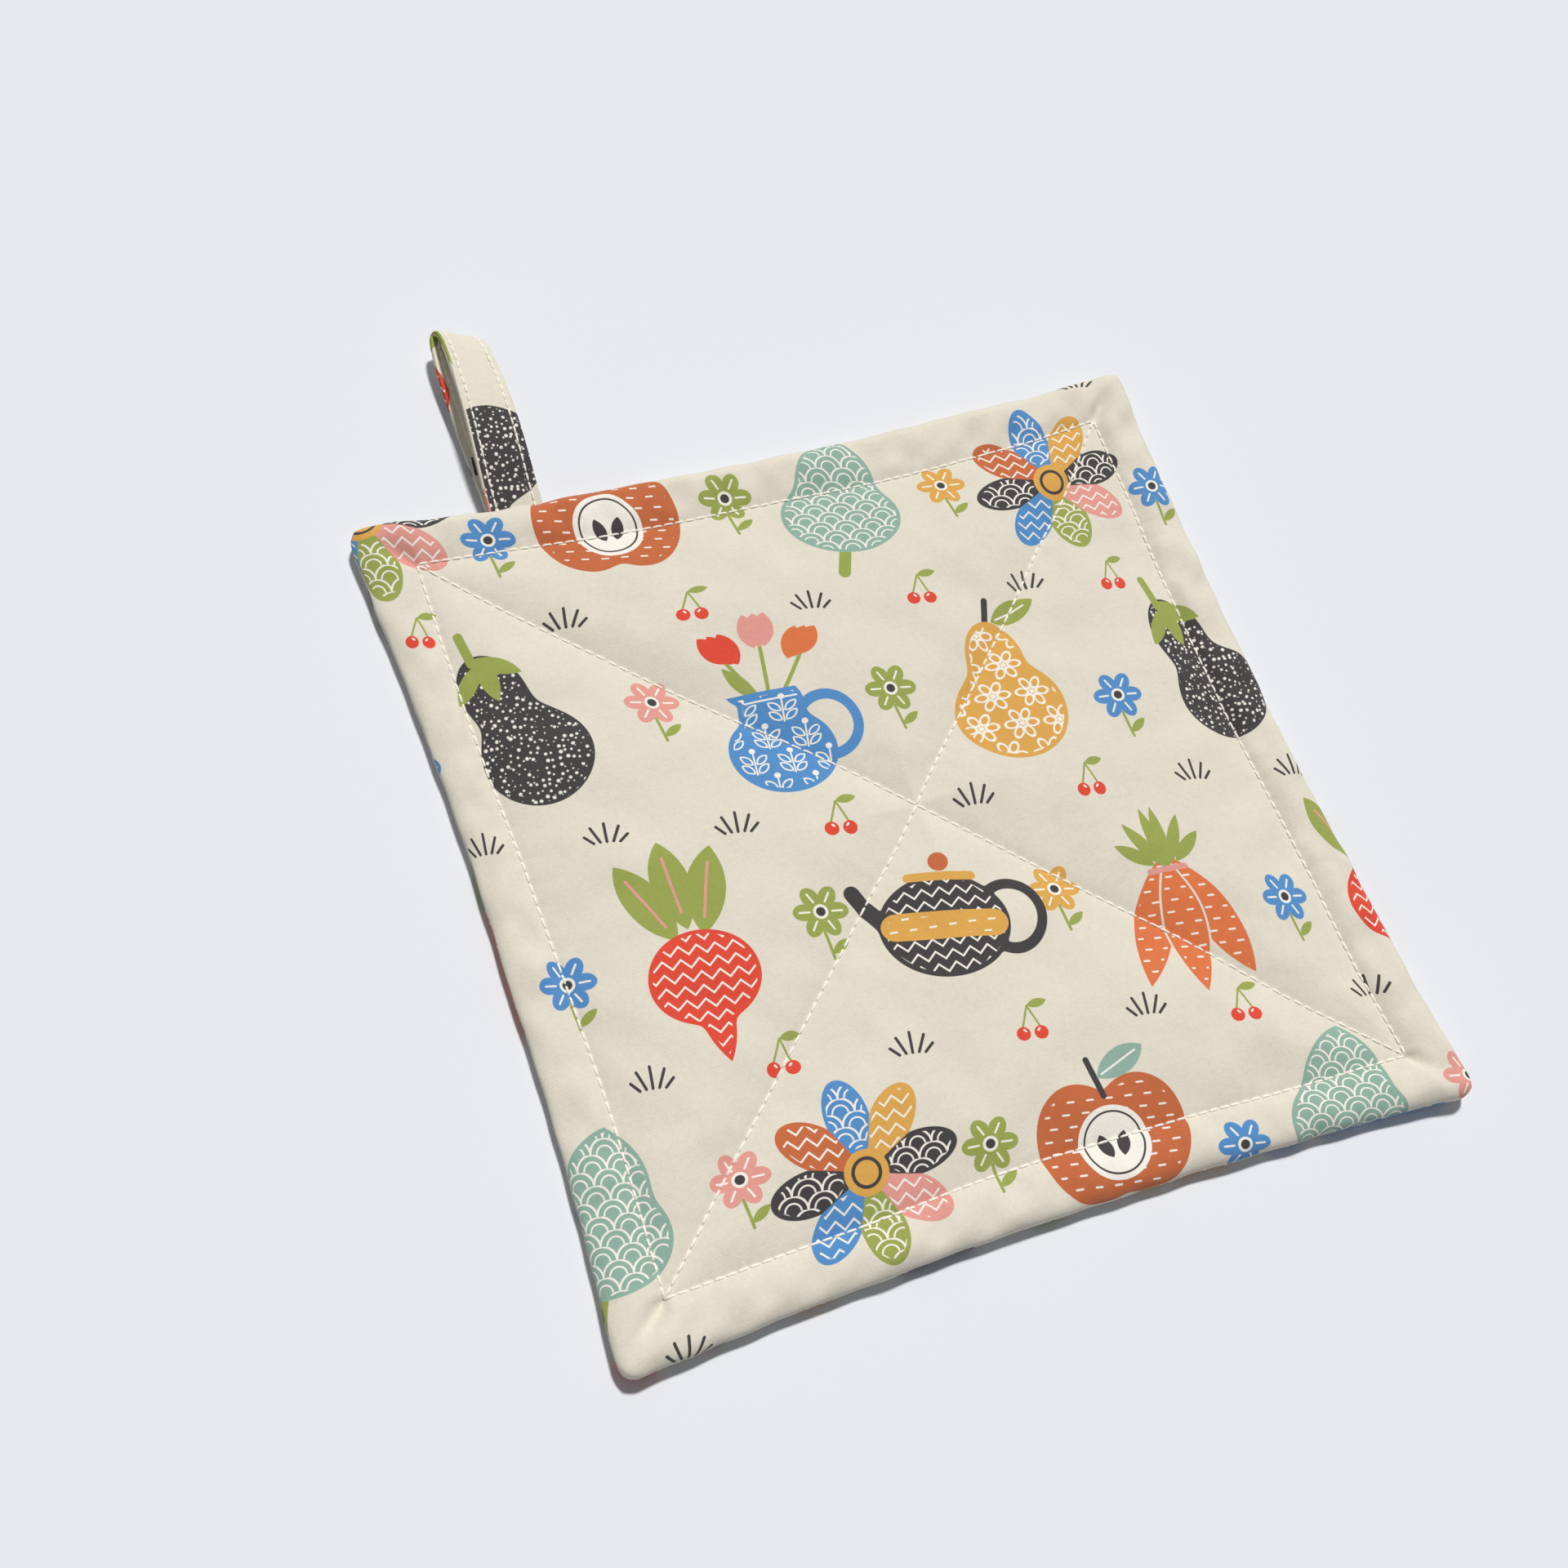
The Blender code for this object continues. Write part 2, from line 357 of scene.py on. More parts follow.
def nearest_of(p, places, period):
    """p seen from the nearest of several repeated places, and the number of that place."""
    best = repeated(p, places[0], period)
    number = 0.0
    for i, at in enumerate(places[1:], 1):
        other = repeated(p, at, period)
        lengths = [node("VectorMath LENGTH", spot) for spot in (other, best)]
        closer = node("Math LESS_THAN", *lengths)
        best = node("Mix", closer, best, other, data_type="VECTOR")
        number = node("Mix", closer, number, float(i))
    return best, number


def bricks(p, length, height, shift=None):
    """p seen from the nearest brick of a wall, with every other row shifted: by half a brick
    where no shift is given."""
    shift = 0.5 * length if shift is None else shift
    return nearest_of(p, [(0, 0), (shift, height)], (length, 2 * height))[0]


# %% [markdown]
# ## The print
#
# The cloth is a cream quilting cotton with large motifs about 50 mm tall, each filled with
# fine white line-work, and small flowers, cherries and pen ticks between them. This print is a
# kitchen garden: fruit and vegetables, a jug of tulips, a teapot and patchwork daisies. One
# repeat holds nine large motifs in three rows, and the next repeat is moved on by half its
# width, a half drop, so that the rows stay staggered and no motif stands above itself. The
# fills are old traditional ones: daisies, sprays, fish scales, running dashes, zigzags and
# specks. They are laid over the whole cloth once, and each motif shows its own outline full.
#
# A motif is a generator: it gives its shapes one by one with their inks, from the back to the
# front, and `painted` lays each over what is there. p is the place as seen from its middle.

# %% Print: colours and layout
CREAM, WHITE, CHARCOAL = "#e2dbcc", "#f3efe6", "#3d393b"
BLUE, OCHRE, SAGE, RUST = "#4f8cc8", "#dca64d", "#8fb0a2", "#c4673a"
RED, OLIVE, PINK, ORANGE = "#e0452f", "#98a44e", "#e29a90", "#dd7440"

REPEAT, LARGE_REPEAT, HALF_DROP = (186.0, 124.0), (186.0, 186.0), 93.0  # mm
PRINT_TURN = -9.0  # degrees between the cloth's print and the cut square
DAISY_PITCH, SCALE_PITCH, DASH_PITCH, ZIGZAG_PITCH, SPRAY_PITCH = 11.0, 7.0, 3.1, 3.4, 9.5  # mm
FINE = 0.5  # mm, the width of a fine line


# %% Print: the fills
def fill_daisies(p):
    """White daisies in a brick layout: six petals and an eye, drawn in outline."""
    q = bricks(p, DAISY_PITCH, 0.85 * DAISY_PITCH)
    petal = oval(around(q, 6), (2.9, 0), (1.7, 1.1))
    return joined([line(petal, FINE), disc(q, 0.7)])


def fill_scales(p):
    """Fish scales: upper half circles on rows half a pitch apart, every other row shifted."""
    rows = []
    half = 0.5 * SCALE_PITCH
    for shift in ((0, 0, 0), (half, half, 0)):
        q = node("VectorMath SUBTRACT", p, shift)
        q = node("VectorMath WRAP", q, (half, SCALE_PITCH, 0), (-half, 0, 0))
        arc = line(disc(q, half), FINE)
        inner = line(disc(q, 0.55 * half), 0.8 * FINE)
        _, up, _ = node("SeparateXYZ", q).node.outputs
        above = node("Math SUBTRACT", up, half)
        rows.append(within(joined([arc, inner]), above))
    return joined(rows)


def fill_dashes(p):
    """Rows of short dashes, like running stitch."""
    q = bricks(p, 1.6 * DASH_PITCH, DASH_PITCH, 0.5 * DASH_PITCH)
    return stroke(q, (-0.75, 0), (0.75, 0), FINE)


def fill_zigzags(p):
    """Rows of zigzag lines: the height less a ping-pong of the place along, wrapped."""
    x, y, _ = node("SeparateXYZ", p).node.outputs
    teeth = node("Math PINGPONG", x, 2.2)
    half = 0.5 * ZIGZAG_PITCH
    rows = node("Math WRAP", node("Math ADD", y, teeth), half, -half)
    return line(rows, 1.3 * FINE)


def fill_sprays(p):
    """White sprays: a stem with two pairs of leaves and a bud, in a brick layout."""
    q = bricks(p, SPRAY_PITCH, 0.8 * SPRAY_PITCH)
    stem = stroke(q, (0, -3.6), (0, 2.4), 0.8 * FINE)
    folded = mirrored(q)
    blades = [leaf(folded, (1.9, height), 3.6, 1.7, 42) for height in (-1.9, 0.7)]
    blades = line(joined(blades), 0.8 * FINE)
    return joined([stem, blades, disc(q, 0.8, (0, 3.4))])


def fill_specks(p):
    """White specks of uneven size, thrown down at random: a Voronoi cell's middle each."""
    cells = node("TexVoronoi", p, 0.62, voronoi_dimensions="2D").node
    chance = node("SeparateColor", cells.outputs["Color"])
    size = node("Math MULTIPLY_ADD", chance, 0.26, 0.04)
    return node("Math SUBTRACT", cells.outputs["Distance"], size)


FILLS = {
    "daisies": fill_daisies,
    "sprays": fill_sprays,
    "scales": fill_scales,
    "dashes": fill_dashes,
    "zigzags": fill_zigzags,
    "specks": fill_specks,
}


# %% Print: fruit
def pear(p, fills):
    """A broad oval and a narrow one above it, run together, with a stem and one leaf."""
    body = joined([oval(p, (0, -8), (15.5, 14.5)), oval(p, (1, 9), (8, 11), -6)], 7)
    yield stroke(p, (1.5, 18), (4, 26), 1.8), CHARCOAL
    yield leaf(p, (11, 22), 15, 6.5, 18), OLIVE
    yield stroke(p, (5.5, 20.2), (15, 23.3), FINE), WHITE
    yield body, OCHRE
    yield within(fills["daisies"], body, 1.2), WHITE


def apple(p, fills):
    """A cut apple: two cheeks, the pale flesh with two pips in it, a stem and a leaf."""
    body = joined([oval(p, (side * 7, 0), (12, 15.5), side * -8) for side in (-1, 1)], 3)
    yield body, RUST
    yield within(fills["dashes"], body, 1.4), WHITE
    yield oval(p, (0, -1), (9, 9.5)), WHITE
    folded = mirrored(p)
    yield leaf(folded, (2.3, -1.5), 6.5, 3.2, 74), CHARCOAL
    yield line(oval(p, (0, -1), (7.4, 7.9)), FINE), CHARCOAL
    yield stroke(p, (0, 11), (-2, 21), 1.6), CHARCOAL
    yield leaf(p, (6.5, 19), 15, 7, 24), SAGE
    yield stroke(p, (1, 16.6), (11, 21), FINE), WHITE


# %% Print: vegetables
def artichoke(p, fills):
    """A round base that runs up to a point, on a thick stem, with fish scales for its leaves."""
    yield stroke(p, (0, -14), (-1, -24), 3.2), OLIVE
    body = joined([oval(p, (0, -4), (16, 13)), leaf(p, (0, 6), 32, 22, 90)], 4)
    yield body, SAGE
    yield within(fills["scales"], body, 0.9), WHITE


def aubergine(p, fills):
    """Two ovals run together, the upper one leaning, under a cap of three sepals."""
    body = joined([disc(p, 13.5, (4, -9)), oval(p, (-5, 8), (8, 12), 28)], 8)
    yield body, CHARCOAL
    yield within(fills["specks"], body, 0.5), WHITE
    yield stroke(p, (-10, 17), (-13, 25), 2.4), OLIVE
    sepals = (((-11, 11), 65), ((-6, 12), -70), ((-4, 16), -20))
    yield joined([leaf(p, at, 13, 4.6, lean) for at, lean in sepals], 1.0), OLIVE


def carrots(p, fills):
    """Three carrots in a fan: long leaves cut across by white rings, under feathery tops."""
    for foot, lean in (((-8, -7), 68), ((8, -7), 112), ((0, -9), 90)):
        root = leaf(p, foot, 36, 10.5, lean)
        yield line(root, 1.2), CREAM
        yield root, ORANGE
        yield within(fills["dashes"], root, 0.8), WHITE
    folded = mirrored(p)
    blades = (((1.0, 15), 18, 86), ((4.6, 14), 15, 62), ((7.6, 11.5), 12, 38))
    yield joined([leaf(folded, at, size, 3.6, lean) for at, size, lean in blades], 0.6), OLIVE
    yield stroke(p, (-5, 6.4), (5, 6.4), 1.6), PINK


def beetroot(p, fills):
    """A round root with a tail, under three broad leaves with pale ribs."""
    body = joined([oval(p, (0, -8), (13.5, 12)), leaf(p, (0, -17), 26, 8, 90)], 3)
    for at, lean in (((-7.5, 13), 112), ((7.5, 13), 68), ((0, 16), 90)):
        yield leaf(p, at, 23, 9.5, lean), OLIVE
        rib = 7 * np.array((math.cos(math.radians(lean)), math.sin(math.radians(lean))))
        yield stroke(p, at - rib, at + rib, 0.7), PINK
    yield body, RED
    yield within(fills["zigzags"], body, 1.0), WHITE


# %% Print: jug and teapot
TULIPS = (((-2, 4), (-9, 17), RED), ((0, 4), (1, 21), PINK), ((3, 4), (11, 16), ORANGE))


def jug(p, fills):
    """A jug of tulips: stems first, then flowers, then the jug in front of them."""
    for foot, head, colour in TULIPS:
        yield stroke(p, foot, head, 1.0), OLIVE
        lean = 90 - math.degrees(math.atan2(head[0] - foot[0], head[1] - foot[1]))
        petals = [leaf(p, (head[0] + s, head[1] + 2.5), 10, 5.2, lean - 4 * s) for s in (-2, 0, 2)]
        yield joined(petals), colour
    yield leaf(p, (-6, 9), 13, 3.6, 124), OLIVE
    handle = line(oval(p, (12.5, -6), (7.5, 8.5)), 2.6)
    belly, neck = oval(p, (0, -12), (13.5, 12)), oval(p, (0, 1), (8, 9))
    spout = leaf(p, (-6.5, 5), 9, 4, -28)
    body = joined([joined([belly, neck], 4), spout], 1.5)
    _, up, _ = node("SeparateXYZ", p).node.outputs
    body = within(body, node("Math SUBTRACT", up, 6.0))
    yield joined([handle, body]), BLUE
    yield within(fills["sprays"], body, 1.2), WHITE
    yield stroke(p, (-6, 3.4), (6.4, 3.4), FINE), WHITE


def teapot(p, fills):
    """A round pot between a ring of a handle and a leaning spout, with a lid and a knob."""
    handle = line(oval(p, (17, -2), (8, 9)), 2.6)
    spout = stroke(p, (-12, -7), (-22, 6), 4.2)
    body = oval(p, (0, -4), (16.5, 14))
    yield joined([body, handle, spout], 1.0), CHARCOAL
    yield within(fills["zigzags"], body, 1.2), WHITE
    yield stroke(p, (-12.2, -4), (12.2, -4), 7.5), OCHRE
    yield within(fills["dashes"], stroke(p, (-12, -4), (12, -4), 5)), WHITE
    yield stroke(p, (-8, 9.4), (8, 9.4), 2.4), OCHRE
    yield disc(p, 2.6, (0, 13.4)), RUST


# %% Print: patchwork daisy
PETAL_CLOTHS = [CHARCOAL, BLUE, OLIVE, PINK, CHARCOAL, OCHRE, BLUE, RUST]
PETALS = len(PETAL_CLOTHS)


def patchwork(p, fills):
    """A daisy of eight petals, each cut from another cloth, round an ochre middle."""
    x, y, _ = node("SeparateXYZ", p).node.outputs
    angle = node("Math ARCTAN2", y, x)
    sector = node("Math MULTIPLY_ADD", angle, 0.5 / math.pi, 0.5 + 0.5 / PETALS)
    cut = node("ValToRGB", node("Math FRACT", sector))
    ramp = cut.node.color_ramp
    ramp.interpolation = "CONSTANT"
    for i, cloth in enumerate(PETAL_CLOTHS):
        step = ramp.elements[i] if i < 2 else ramp.elements.new(i / PETALS)
        step.position = i / PETALS
        step.color = linear(cloth)
    petal = oval(around(p, PETALS), (14, 0), (9.5, 5.4))
    yield petal, cut
    pair = node("Math FRACT", node("Math MULTIPLY", sector, 0.5 * PETALS))
    other = node("Math GREATER_THAN", pair, 0.5)
    marks = node("Mix", other, fills["scales"], fills["zigzags"])
    yield within(marks, petal, 0.9), WHITE
    yield disc(p, 5.6), OCHRE
    yield line(disc(p, 3.4), 0.9), CHARCOAL


LARGE = [
    (pear, (31, 31), 6),
    (aubergine, (93, 33), -4),
    (jug, (155, 30), 3),
    (artichoke, (0, 93), -7),
    (patchwork, (62, 94), 11),
    (apple, (124, 92), 5),
    (beetroot, (31, 155), 8),
    (teapot, (93, 156), -5),
    (carrots, (155, 154), 4),
]

# %% Print: the small motifs
# The large motifs stand 62 mm apart in staggered rows. The daisies stand between two of them in
# a row, and the cherries and ticks in the gaps between the rows.
DAISIES_AT = [(0, 33), (63, 24), (126, 36), (30, 97), (93, 88), (156, 98)]
DAISY_COLOURS = [OLIVE, BLUE, PINK, OCHRE, BLUE, OLIVE]
CHERRIES_AT = [(15, 62), (72, 61), (140, 63), (47, 1), (165, -2)]
TICKS_AT = [(46, 63), (109, 62), (171, 61), (15, 0), (78, 1), (109, 0), (140, -1)]


def small_daisies(p):
    """Six petals with a white stroke in each, a charcoal eye, and a stem with one leaf."""
    q, number = nearest_of(p, DAISIES_AT, REPEAT)
    yield stroke(q, (0, -5), (1.5, -12), 0.8), OLIVE
    yield leaf(q, (3.6, -9), 6, 2.4, 38), OLIVE
    colour = linear(DAISY_COLOURS[0])
    for i, name in enumerate(DAISY_COLOURS[1:], 1):
        past = node("Math GREATER_THAN", number, i - 0.5)
        colour = node("Mix", past, colour, linear(name), data_type="RGBA")
    folded = around(q, 6)
    yield oval(folded, (4.2, 0), (2.9, 2.2)), colour
    yield stroke(folded, (2.9, 0), (5.4, 0), 0.5), WHITE
    yield disc(q, 1.9), WHITE
    yield disc(q, 1.2), CHARCOAL


def cherries(p):
    """Two cherries on stems that meet below a leaf, each with a white glint."""
    q, _ = nearest_of(p, CHERRIES_AT, REPEAT)
    folded = mirrored(q)
    yield stroke(folded, (2.3, -1.4), (0, 4.4), 0.55), OLIVE
    yield leaf(q, (2.7, 4.9), 5.4, 2.3, 10), OLIVE
    yield disc(folded, 1.8, (2.3, -2.8)), RED
    yield stroke(folded, (1.6, -2.2), (2.0, -1.8), 0.5), WHITE


def ticks(p):
    """Short pen strokes that spread like blades of grass, three tall and two low."""
    q, _ = nearest_of(p, TICKS_AT, REPEAT)
    folded = mirrored(q)
    middle = stroke(q, (0, -2.2), (0, 3.0), 0.75)
    tall = stroke(folded, (1.6, -2.2), (3.4, 2.0), 0.75)
    low = stroke(folded, (3.2, -2.4), (5.2, -0.4), 0.75)
    yield joined([middle, tall, low]), CHARCOAL


# %% Print: all of it
def kitchen_garden():
    """The whole print as one node group: a place on the cloth in, its colour out."""
    group = bpy.data.node_groups.new("kitchen_garden_print", "ShaderNodeTree")
    group.interface.new_socket("Place", in_out="INPUT", socket_type="NodeSocketVector")
    group.interface.new_socket("Colour", in_out="OUTPUT", socket_type="NodeSocketColor")
    p = group.nodes.new("NodeGroupInput").outputs["Place"]
    fills = {name: draw(p) for name, draw in FILLS.items()}
    colour = linear(CREAM)
    for draw in (ticks, cherries, small_daisies):
        colour = painted(colour, draw(p))
    for draw, at, lean in LARGE:
        own = local(repeated(p, at, LARGE_REPEAT, HALF_DROP), turn=lean)
        colour = painted(colour, draw(own, fills))
    group.links.new(colour, group.nodes.new("NodeGroupOutput").inputs["Colour"])
    print(f"print: {len(group.nodes)} nodes, {len(LARGE)} large motifs in a repeat")
    return group


print_group = kitchen_garden()

# %% [markdown]
# ## Quilting cotton
#
# Quilting cotton is a plain weave of about 28 threads to the centimetre, pigment printed and
# washed, so it is matt with a faint bloom of loose fibre. Principled BSDF does this with
# high roughness and a little sheen. The weave is a product of two sine waves, one for each
# direction of thread. Real threads lie 0.36 mm apart, too fine for a picture of the whole
# mat, so it is drawn at 0.6 mm. Each thread also varies a little, which a stretched noise
# gives. At each needle hole the thread draws the cloth in. Such a dimple is smaller than the
# cells of the mesh, so it is bump: the distance to the nearest hole, worked out from the same
# sewing lines as the stitches, sinks the cloth there. It also darkens the colour a little
# there, as painted shade.

# %% Sewing lines and cotton
STITCH_HALF = 97.8  # mm, from the middle to a corner of the stitched square
SQUARE_STITCHES = 66  # along one side
DIAGONAL_STITCHES = 88  # from corner to corner
SQUARE_PITCH = 2 * STITCH_HALF / SQUARE_STITCHES
DIAGONAL_PITCH = 2 * math.sqrt(2) * STITCH_HALF / DIAGONAL_STITCHES
DIMPLE_REACH, DIMPLE_DEPTH = 1.4, 0.02  # mm
THREAD_SPACING = 0.6  # mm, drawn coarser than the real 0.36
THICK_AND_THIN = (0.5, 1.9)  # changes in each millimetre along a thread, and across threads
WEAVE_DEPTH = 0.007  # mm
GRAIN_DEPTH = 0.036  # mm, thicker and thinner threads
FUZZ_DEPTH = 0.03  # mm, loose fibre
RIPPLE_DEPTH = 0.09  # mm, slight waves of washed cloth
# Noises of the cloth: changes in each millimetre, octaves and roughness
MOTTLE, RIPPLE, FUZZ = (0.09, 3.0, 0.55), (0.22, 2.0, 0.5), (1.1, 2.0, 0.7)
MOTTLE_DRIFT = 2.5  # mm by which the threads stray from straight
MOTTLE_SHARE = 0.7  # of the mottle, beside the noises of the two threads
NOISE_RANGE, SHADE_RANGE = (1.0, 1.7), (0.95, 1.035)  # their sum, and how light the cloth is
# Painted shade round the needle holes: how strongly it darkens, and its colour
HOLE_SHADE, HOLE_SHADE_COLOUR = 0.03, "#8f8372"
COTTON_IOR = 1.53


def to_needle_hole(p):
    """Distance to the nearest needle hole, from the two kinds of stitch line."""
    x, y, _ = node("SeparateXYZ", node("VectorMath ABSOLUTE", p)).node.outputs
    outward = node("Math MAXIMUM", x, y)
    past = node("Math SUBTRACT", outward, STITCH_HALF)
    along = node("Math PINGPONG", node("Math MINIMUM", x, y), 0.5 * SQUARE_PITCH)
    to_square = node("VectorMath LENGTH", node("CombineXYZ", past, along))
    run = node("Math MULTIPLY", node("Math ADD", x, y), math.sqrt(0.5))
    off = node("Math MULTIPLY", node("Math SUBTRACT", x, y), math.sqrt(0.5))
    along = node("Math PINGPONG", run, 0.5 * DIAGONAL_PITCH)
    ahead = node("Math MAXIMUM", past, 0.0)
    to_diagonal = node("VectorMath LENGTH", node("CombineXYZ", off, along, ahead))
    return node("Math MINIMUM", to_square, to_diagonal)


def printed_cotton(name, shift=(0, 0), turn=PRINT_TURN, holes=True):
    """Pigment-printed quilting cotton, in cloth millimetres from the piece's own UV map."""
    material, tree = blank_material(name)
    p = node("UVMap", tree=tree, uv_map="cloth_mm")
    printed = tree.nodes.new("ShaderNodeGroup")
    printed.node_tree = print_group
    spin = (0, 0, math.radians(turn))
    placed = node("Mapping", p, (*shift, 0), spin, vector_type="TEXTURE")
    tree.links.new(placed, printed.inputs["Place"])

    mottle = node("TexNoise", p, *MOTTLE)
    drift = node("VectorMath SCALE", mottle.node.outputs["Color"], MOTTLE_DRIFT)
    q = node("VectorMath ADD", p, drift)
    slow, quick = THICK_AND_THIN
    warp = node("TexNoise", node("VectorMath MULTIPLY", q, (slow, quick, 1)), 1.0, 2.0)
    weft = node("TexNoise", node("VectorMath MULTIPLY", q, (quick, slow, 1)), 1.0, 2.0)
    grain = node("Math ADD", warp, weft)
    uneven = node("Math MULTIPLY_ADD", mottle, MOTTLE_SHARE, grain)
    shade = node("MapRange", uneven, *NOISE_RANGE, *SHADE_RANGE)
    grain_and_hole_shade = node("VectorMath SCALE", printed.outputs["Colour"], shade)

    waves_q = node("VectorMath SCALE", q, math.pi / THREAD_SPACING)
    over, under, _ = node("SeparateXYZ", node("VectorMath SINE", waves_q)).node.outputs
    height = node("Math MULTIPLY", node("Math MULTIPLY", over, under), WEAVE_DEPTH)
    height = node("Math MULTIPLY_ADD", grain, GRAIN_DEPTH, height)
    for noise, depth in ((RIPPLE, RIPPLE_DEPTH), (FUZZ, FUZZ_DEPTH)):
        height = node("Math MULTIPLY_ADD", node("TexNoise", p, *noise), depth, height)
    if holes:
        # Painted shade: the colour darkens a little round each needle hole, where the dimple lies in
        # shade
        reach = to_needle_hole(p)
        hole_shade = node("MapRange", reach, 0.1, 0.5, HOLE_SHADE, 0.0)
        grain_and_hole_shade = node("Mix", hole_shade, grain_and_hole_shade, linear(HOLE_SHADE_COLOUR), data_type="RGBA")
        drawn = node("MapRange", reach, 0.0, DIMPLE_REACH, -DIMPLE_DEPTH, 0.0)
        drawn.node.interpolation_type = "SMOOTHSTEP"
        height = node("Math ADD", height, drawn)
    bump = node("Bump", Strength=1.0, Distance=MM, Height=height)
    shader = node(
        "BsdfPrincipled",
        Base_Color=grain_and_hole_shade,
        Roughness=0.88,
        IOR=COTTON_IOR,
        Sheen_Weight=0.18,
        Sheen_Roughness=0.5,
        Normal=bump,
    )
    node("OutputMaterial", shader)
    print(f"{name}: {len(tree.nodes)} nodes and the print")
    return material


face_cotton = printed_cotton("quilting_cotton_face")
back_cotton = printed_cotton("quilting_cotton_back", shift=(58, 37))
strap_cotton = printed_cotton("quilting_cotton_strap", shift=(-88, 66), turn=7, holes=False)

# %% [markdown]
# ## The mat in plan
#
# A square that has been stuffed and stitched is no longer square: its sides draw in, its
# corners stay out, and the crossing of the diagonals has crept a little to one side. Every
# point of the mat is a place (a, b) on the cut square, and this function says where that
# place lies. All of the mat, its stitches and its print use it, so they cannot drift apart.
# The hand of the maker shows too: the sewn lines stray a millimetre or two from the straight,
# and the outline wanders a little.

# %% The mat in plan
TIP_HALF = 111.4  # mm, from the middle to the outermost point of a corner
SIDE_DRAW_IN = 4.1
DRAW_IN_FADE = 4.8
CORNER_RADIUS = 5.5
CROSSING_SHIFT = 3.3
LOOP_REACH = 57.0  # from the mat's edge to the loop's fold
CENTRE_SHIFT_Y = -0.5 * (LOOP_REACH - SIDE_DRAW_IN)
WANDER, WANDER_LENGTHS = 0.25, (55.0, 50.0)  # mm, for X and Y
SHORT_AND_LONG = 0.7, 1.4  # how many waves lie in the length that is asked for
# How far outward each sewn line strays from the straight, in mm at nine places along it
SEWN_AT = np.linspace(-STITCH_HALF, STITCH_HALF, 9)
SEWN_LEFT = (0, -0.1, -0.2, 0.1, 1.1, 1.3, 1.5, 1.2, 0)
SEWN_RIGHT = (0, -0.9, -0.5, -1.4, -2.1, -2.0, -1.4, -0.4, 0)
SEWN_NEAR = (0, -0.3, -0.7, -1.4, -1.6, -1.2, -0.5, 0.1, 0)
SEWN_FAR = (0, -0.5, -1.9, -2.2, -2.4, -2.5, -2.6, -1.9, 0)


def waves(a, b, length, seed, count=7):
    """Smooth unevenness, mostly between -1 and 1: seeded waves of about that length."""
    draw = np.random.default_rng(seed)
    turns, phases = draw.uniform(0, 2 * np.pi, (2, count))
    steps = 2 * np.pi / length * draw.uniform(*SHORT_AND_LONG, count)
    total = 0.0
    for turn, phase, step in zip(turns, phases, steps):
        total = total + np.sin(step * (a * np.cos(turn) + b * np.sin(turn)) + phase)
    return total / math.sqrt(count)


def rise(distance, reach):
    """0 on a stitch line and 1 from reach onwards, steepest beside the thread."""
    share = np.clip(distance / reach, 0.0, 1.0)
    return 1.0 - (1.0 - share) ** 2


def smooth(share):
    """0 below 0, 1 above 1, and a rise between them that starts and ends level."""
    share = np.clip(share, 0.0, 1.0)
    return share * share * (3.0 - 2.0 * share)


def bell(distance, reach):
    """1 at 0, fading off on both sides in a bell curve of that reach."""
    return np.exp(-((distance / reach) ** 2))


def lengths_along(points):
    """How far along its line each point lies, from 0; points is (..., number, axis)."""
    run = np.cumsum(np.linalg.norm(np.diff(points, axis=-2), axis=-1), axis=-1)
    return np.concatenate([np.zeros_like(run[..., :1]), run], axis=-1)


def round_corner(a, b):
    """Carries the last square of each corner onto a quarter disc of CORNER_RADIUS."""
    start = TIP_HALF - CORNER_RADIUS
    over_a = np.maximum(np.abs(a) - start, 0.0)
    over_b = np.maximum(np.abs(b) - start, 0.0)
    pull_a = over_a * (1.0 - np.sqrt(1.0 - 0.5 * (over_b / CORNER_RADIUS) ** 2))
    pull_b = over_b * (1.0 - np.sqrt(1.0 - 0.5 * (over_a / CORNER_RADIUS) ** 2))
    return a - np.sign(a) * pull_a, b - np.sign(b) * pull_b


def strayed(outward, along, low_side, high_side):
    """How far the cloth is carried by its side's sewn line: all the way there, fading off it."""
    low, high = (np.interp(along, SEWN_AT, side) for side in (low_side, high_side))
    size = np.abs(outward)
    inside = smooth(size / STITCH_HALF)
    outside = (TIP_HALF - size) / (TIP_HALF - STITCH_HALF)
    return np.where(outward > 0, high, -low) * np.minimum(inside, outside)


def mat_plan(a, b):
    """X and Y of a place on the cut square, in millimetres, with the outside centred."""
    along_a, along_b = np.abs(a / TIP_HALF), np.abs(b / TIP_HALF)
    bow_a = SIDE_DRAW_IN * along_a**DRAW_IN_FADE * (1.0 - along_b**2)
    bow_b = SIDE_DRAW_IN * along_b**DRAW_IN_FADE * (1.0 - along_a**2)
    middle = (1.0 - along_a**2) * (1.0 - along_b**2)
    x, y = round_corner(a, b)
    x = x - np.sign(a) * bow_a + CROSSING_SHIFT * middle + WANDER * waves(a, b, WANDER_LENGTHS[0], 11)
    y = y - np.sign(b) * bow_b + WANDER * waves(a, b, WANDER_LENGTHS[1], 12)
    x = x + strayed(a, b, SEWN_LEFT, SEWN_RIGHT)
    y = y + strayed(b, a, SEWN_NEAR, SEWN_FAR)
    return x, y + CENTRE_SHIFT_Y


print(f"corner of the stitched square at {np.round(mat_plan(STITCH_HALF, STITCH_HALF), 1)} mm")

# %% [markdown]
# ## The mat in height
#
# The padding stands up between the stitch lines and is held down along them. Close to the
# needle two finer things happen. The thread is pulled tight in each hole, so the cloth dips
# there and swells between, which scallops both sides of the line. And the cloth has been
# drawn up a little shorter than it was, so fine puckers run off the line at right angles:
# narrow valleys with round cushions between them, which the size of a sine gives.

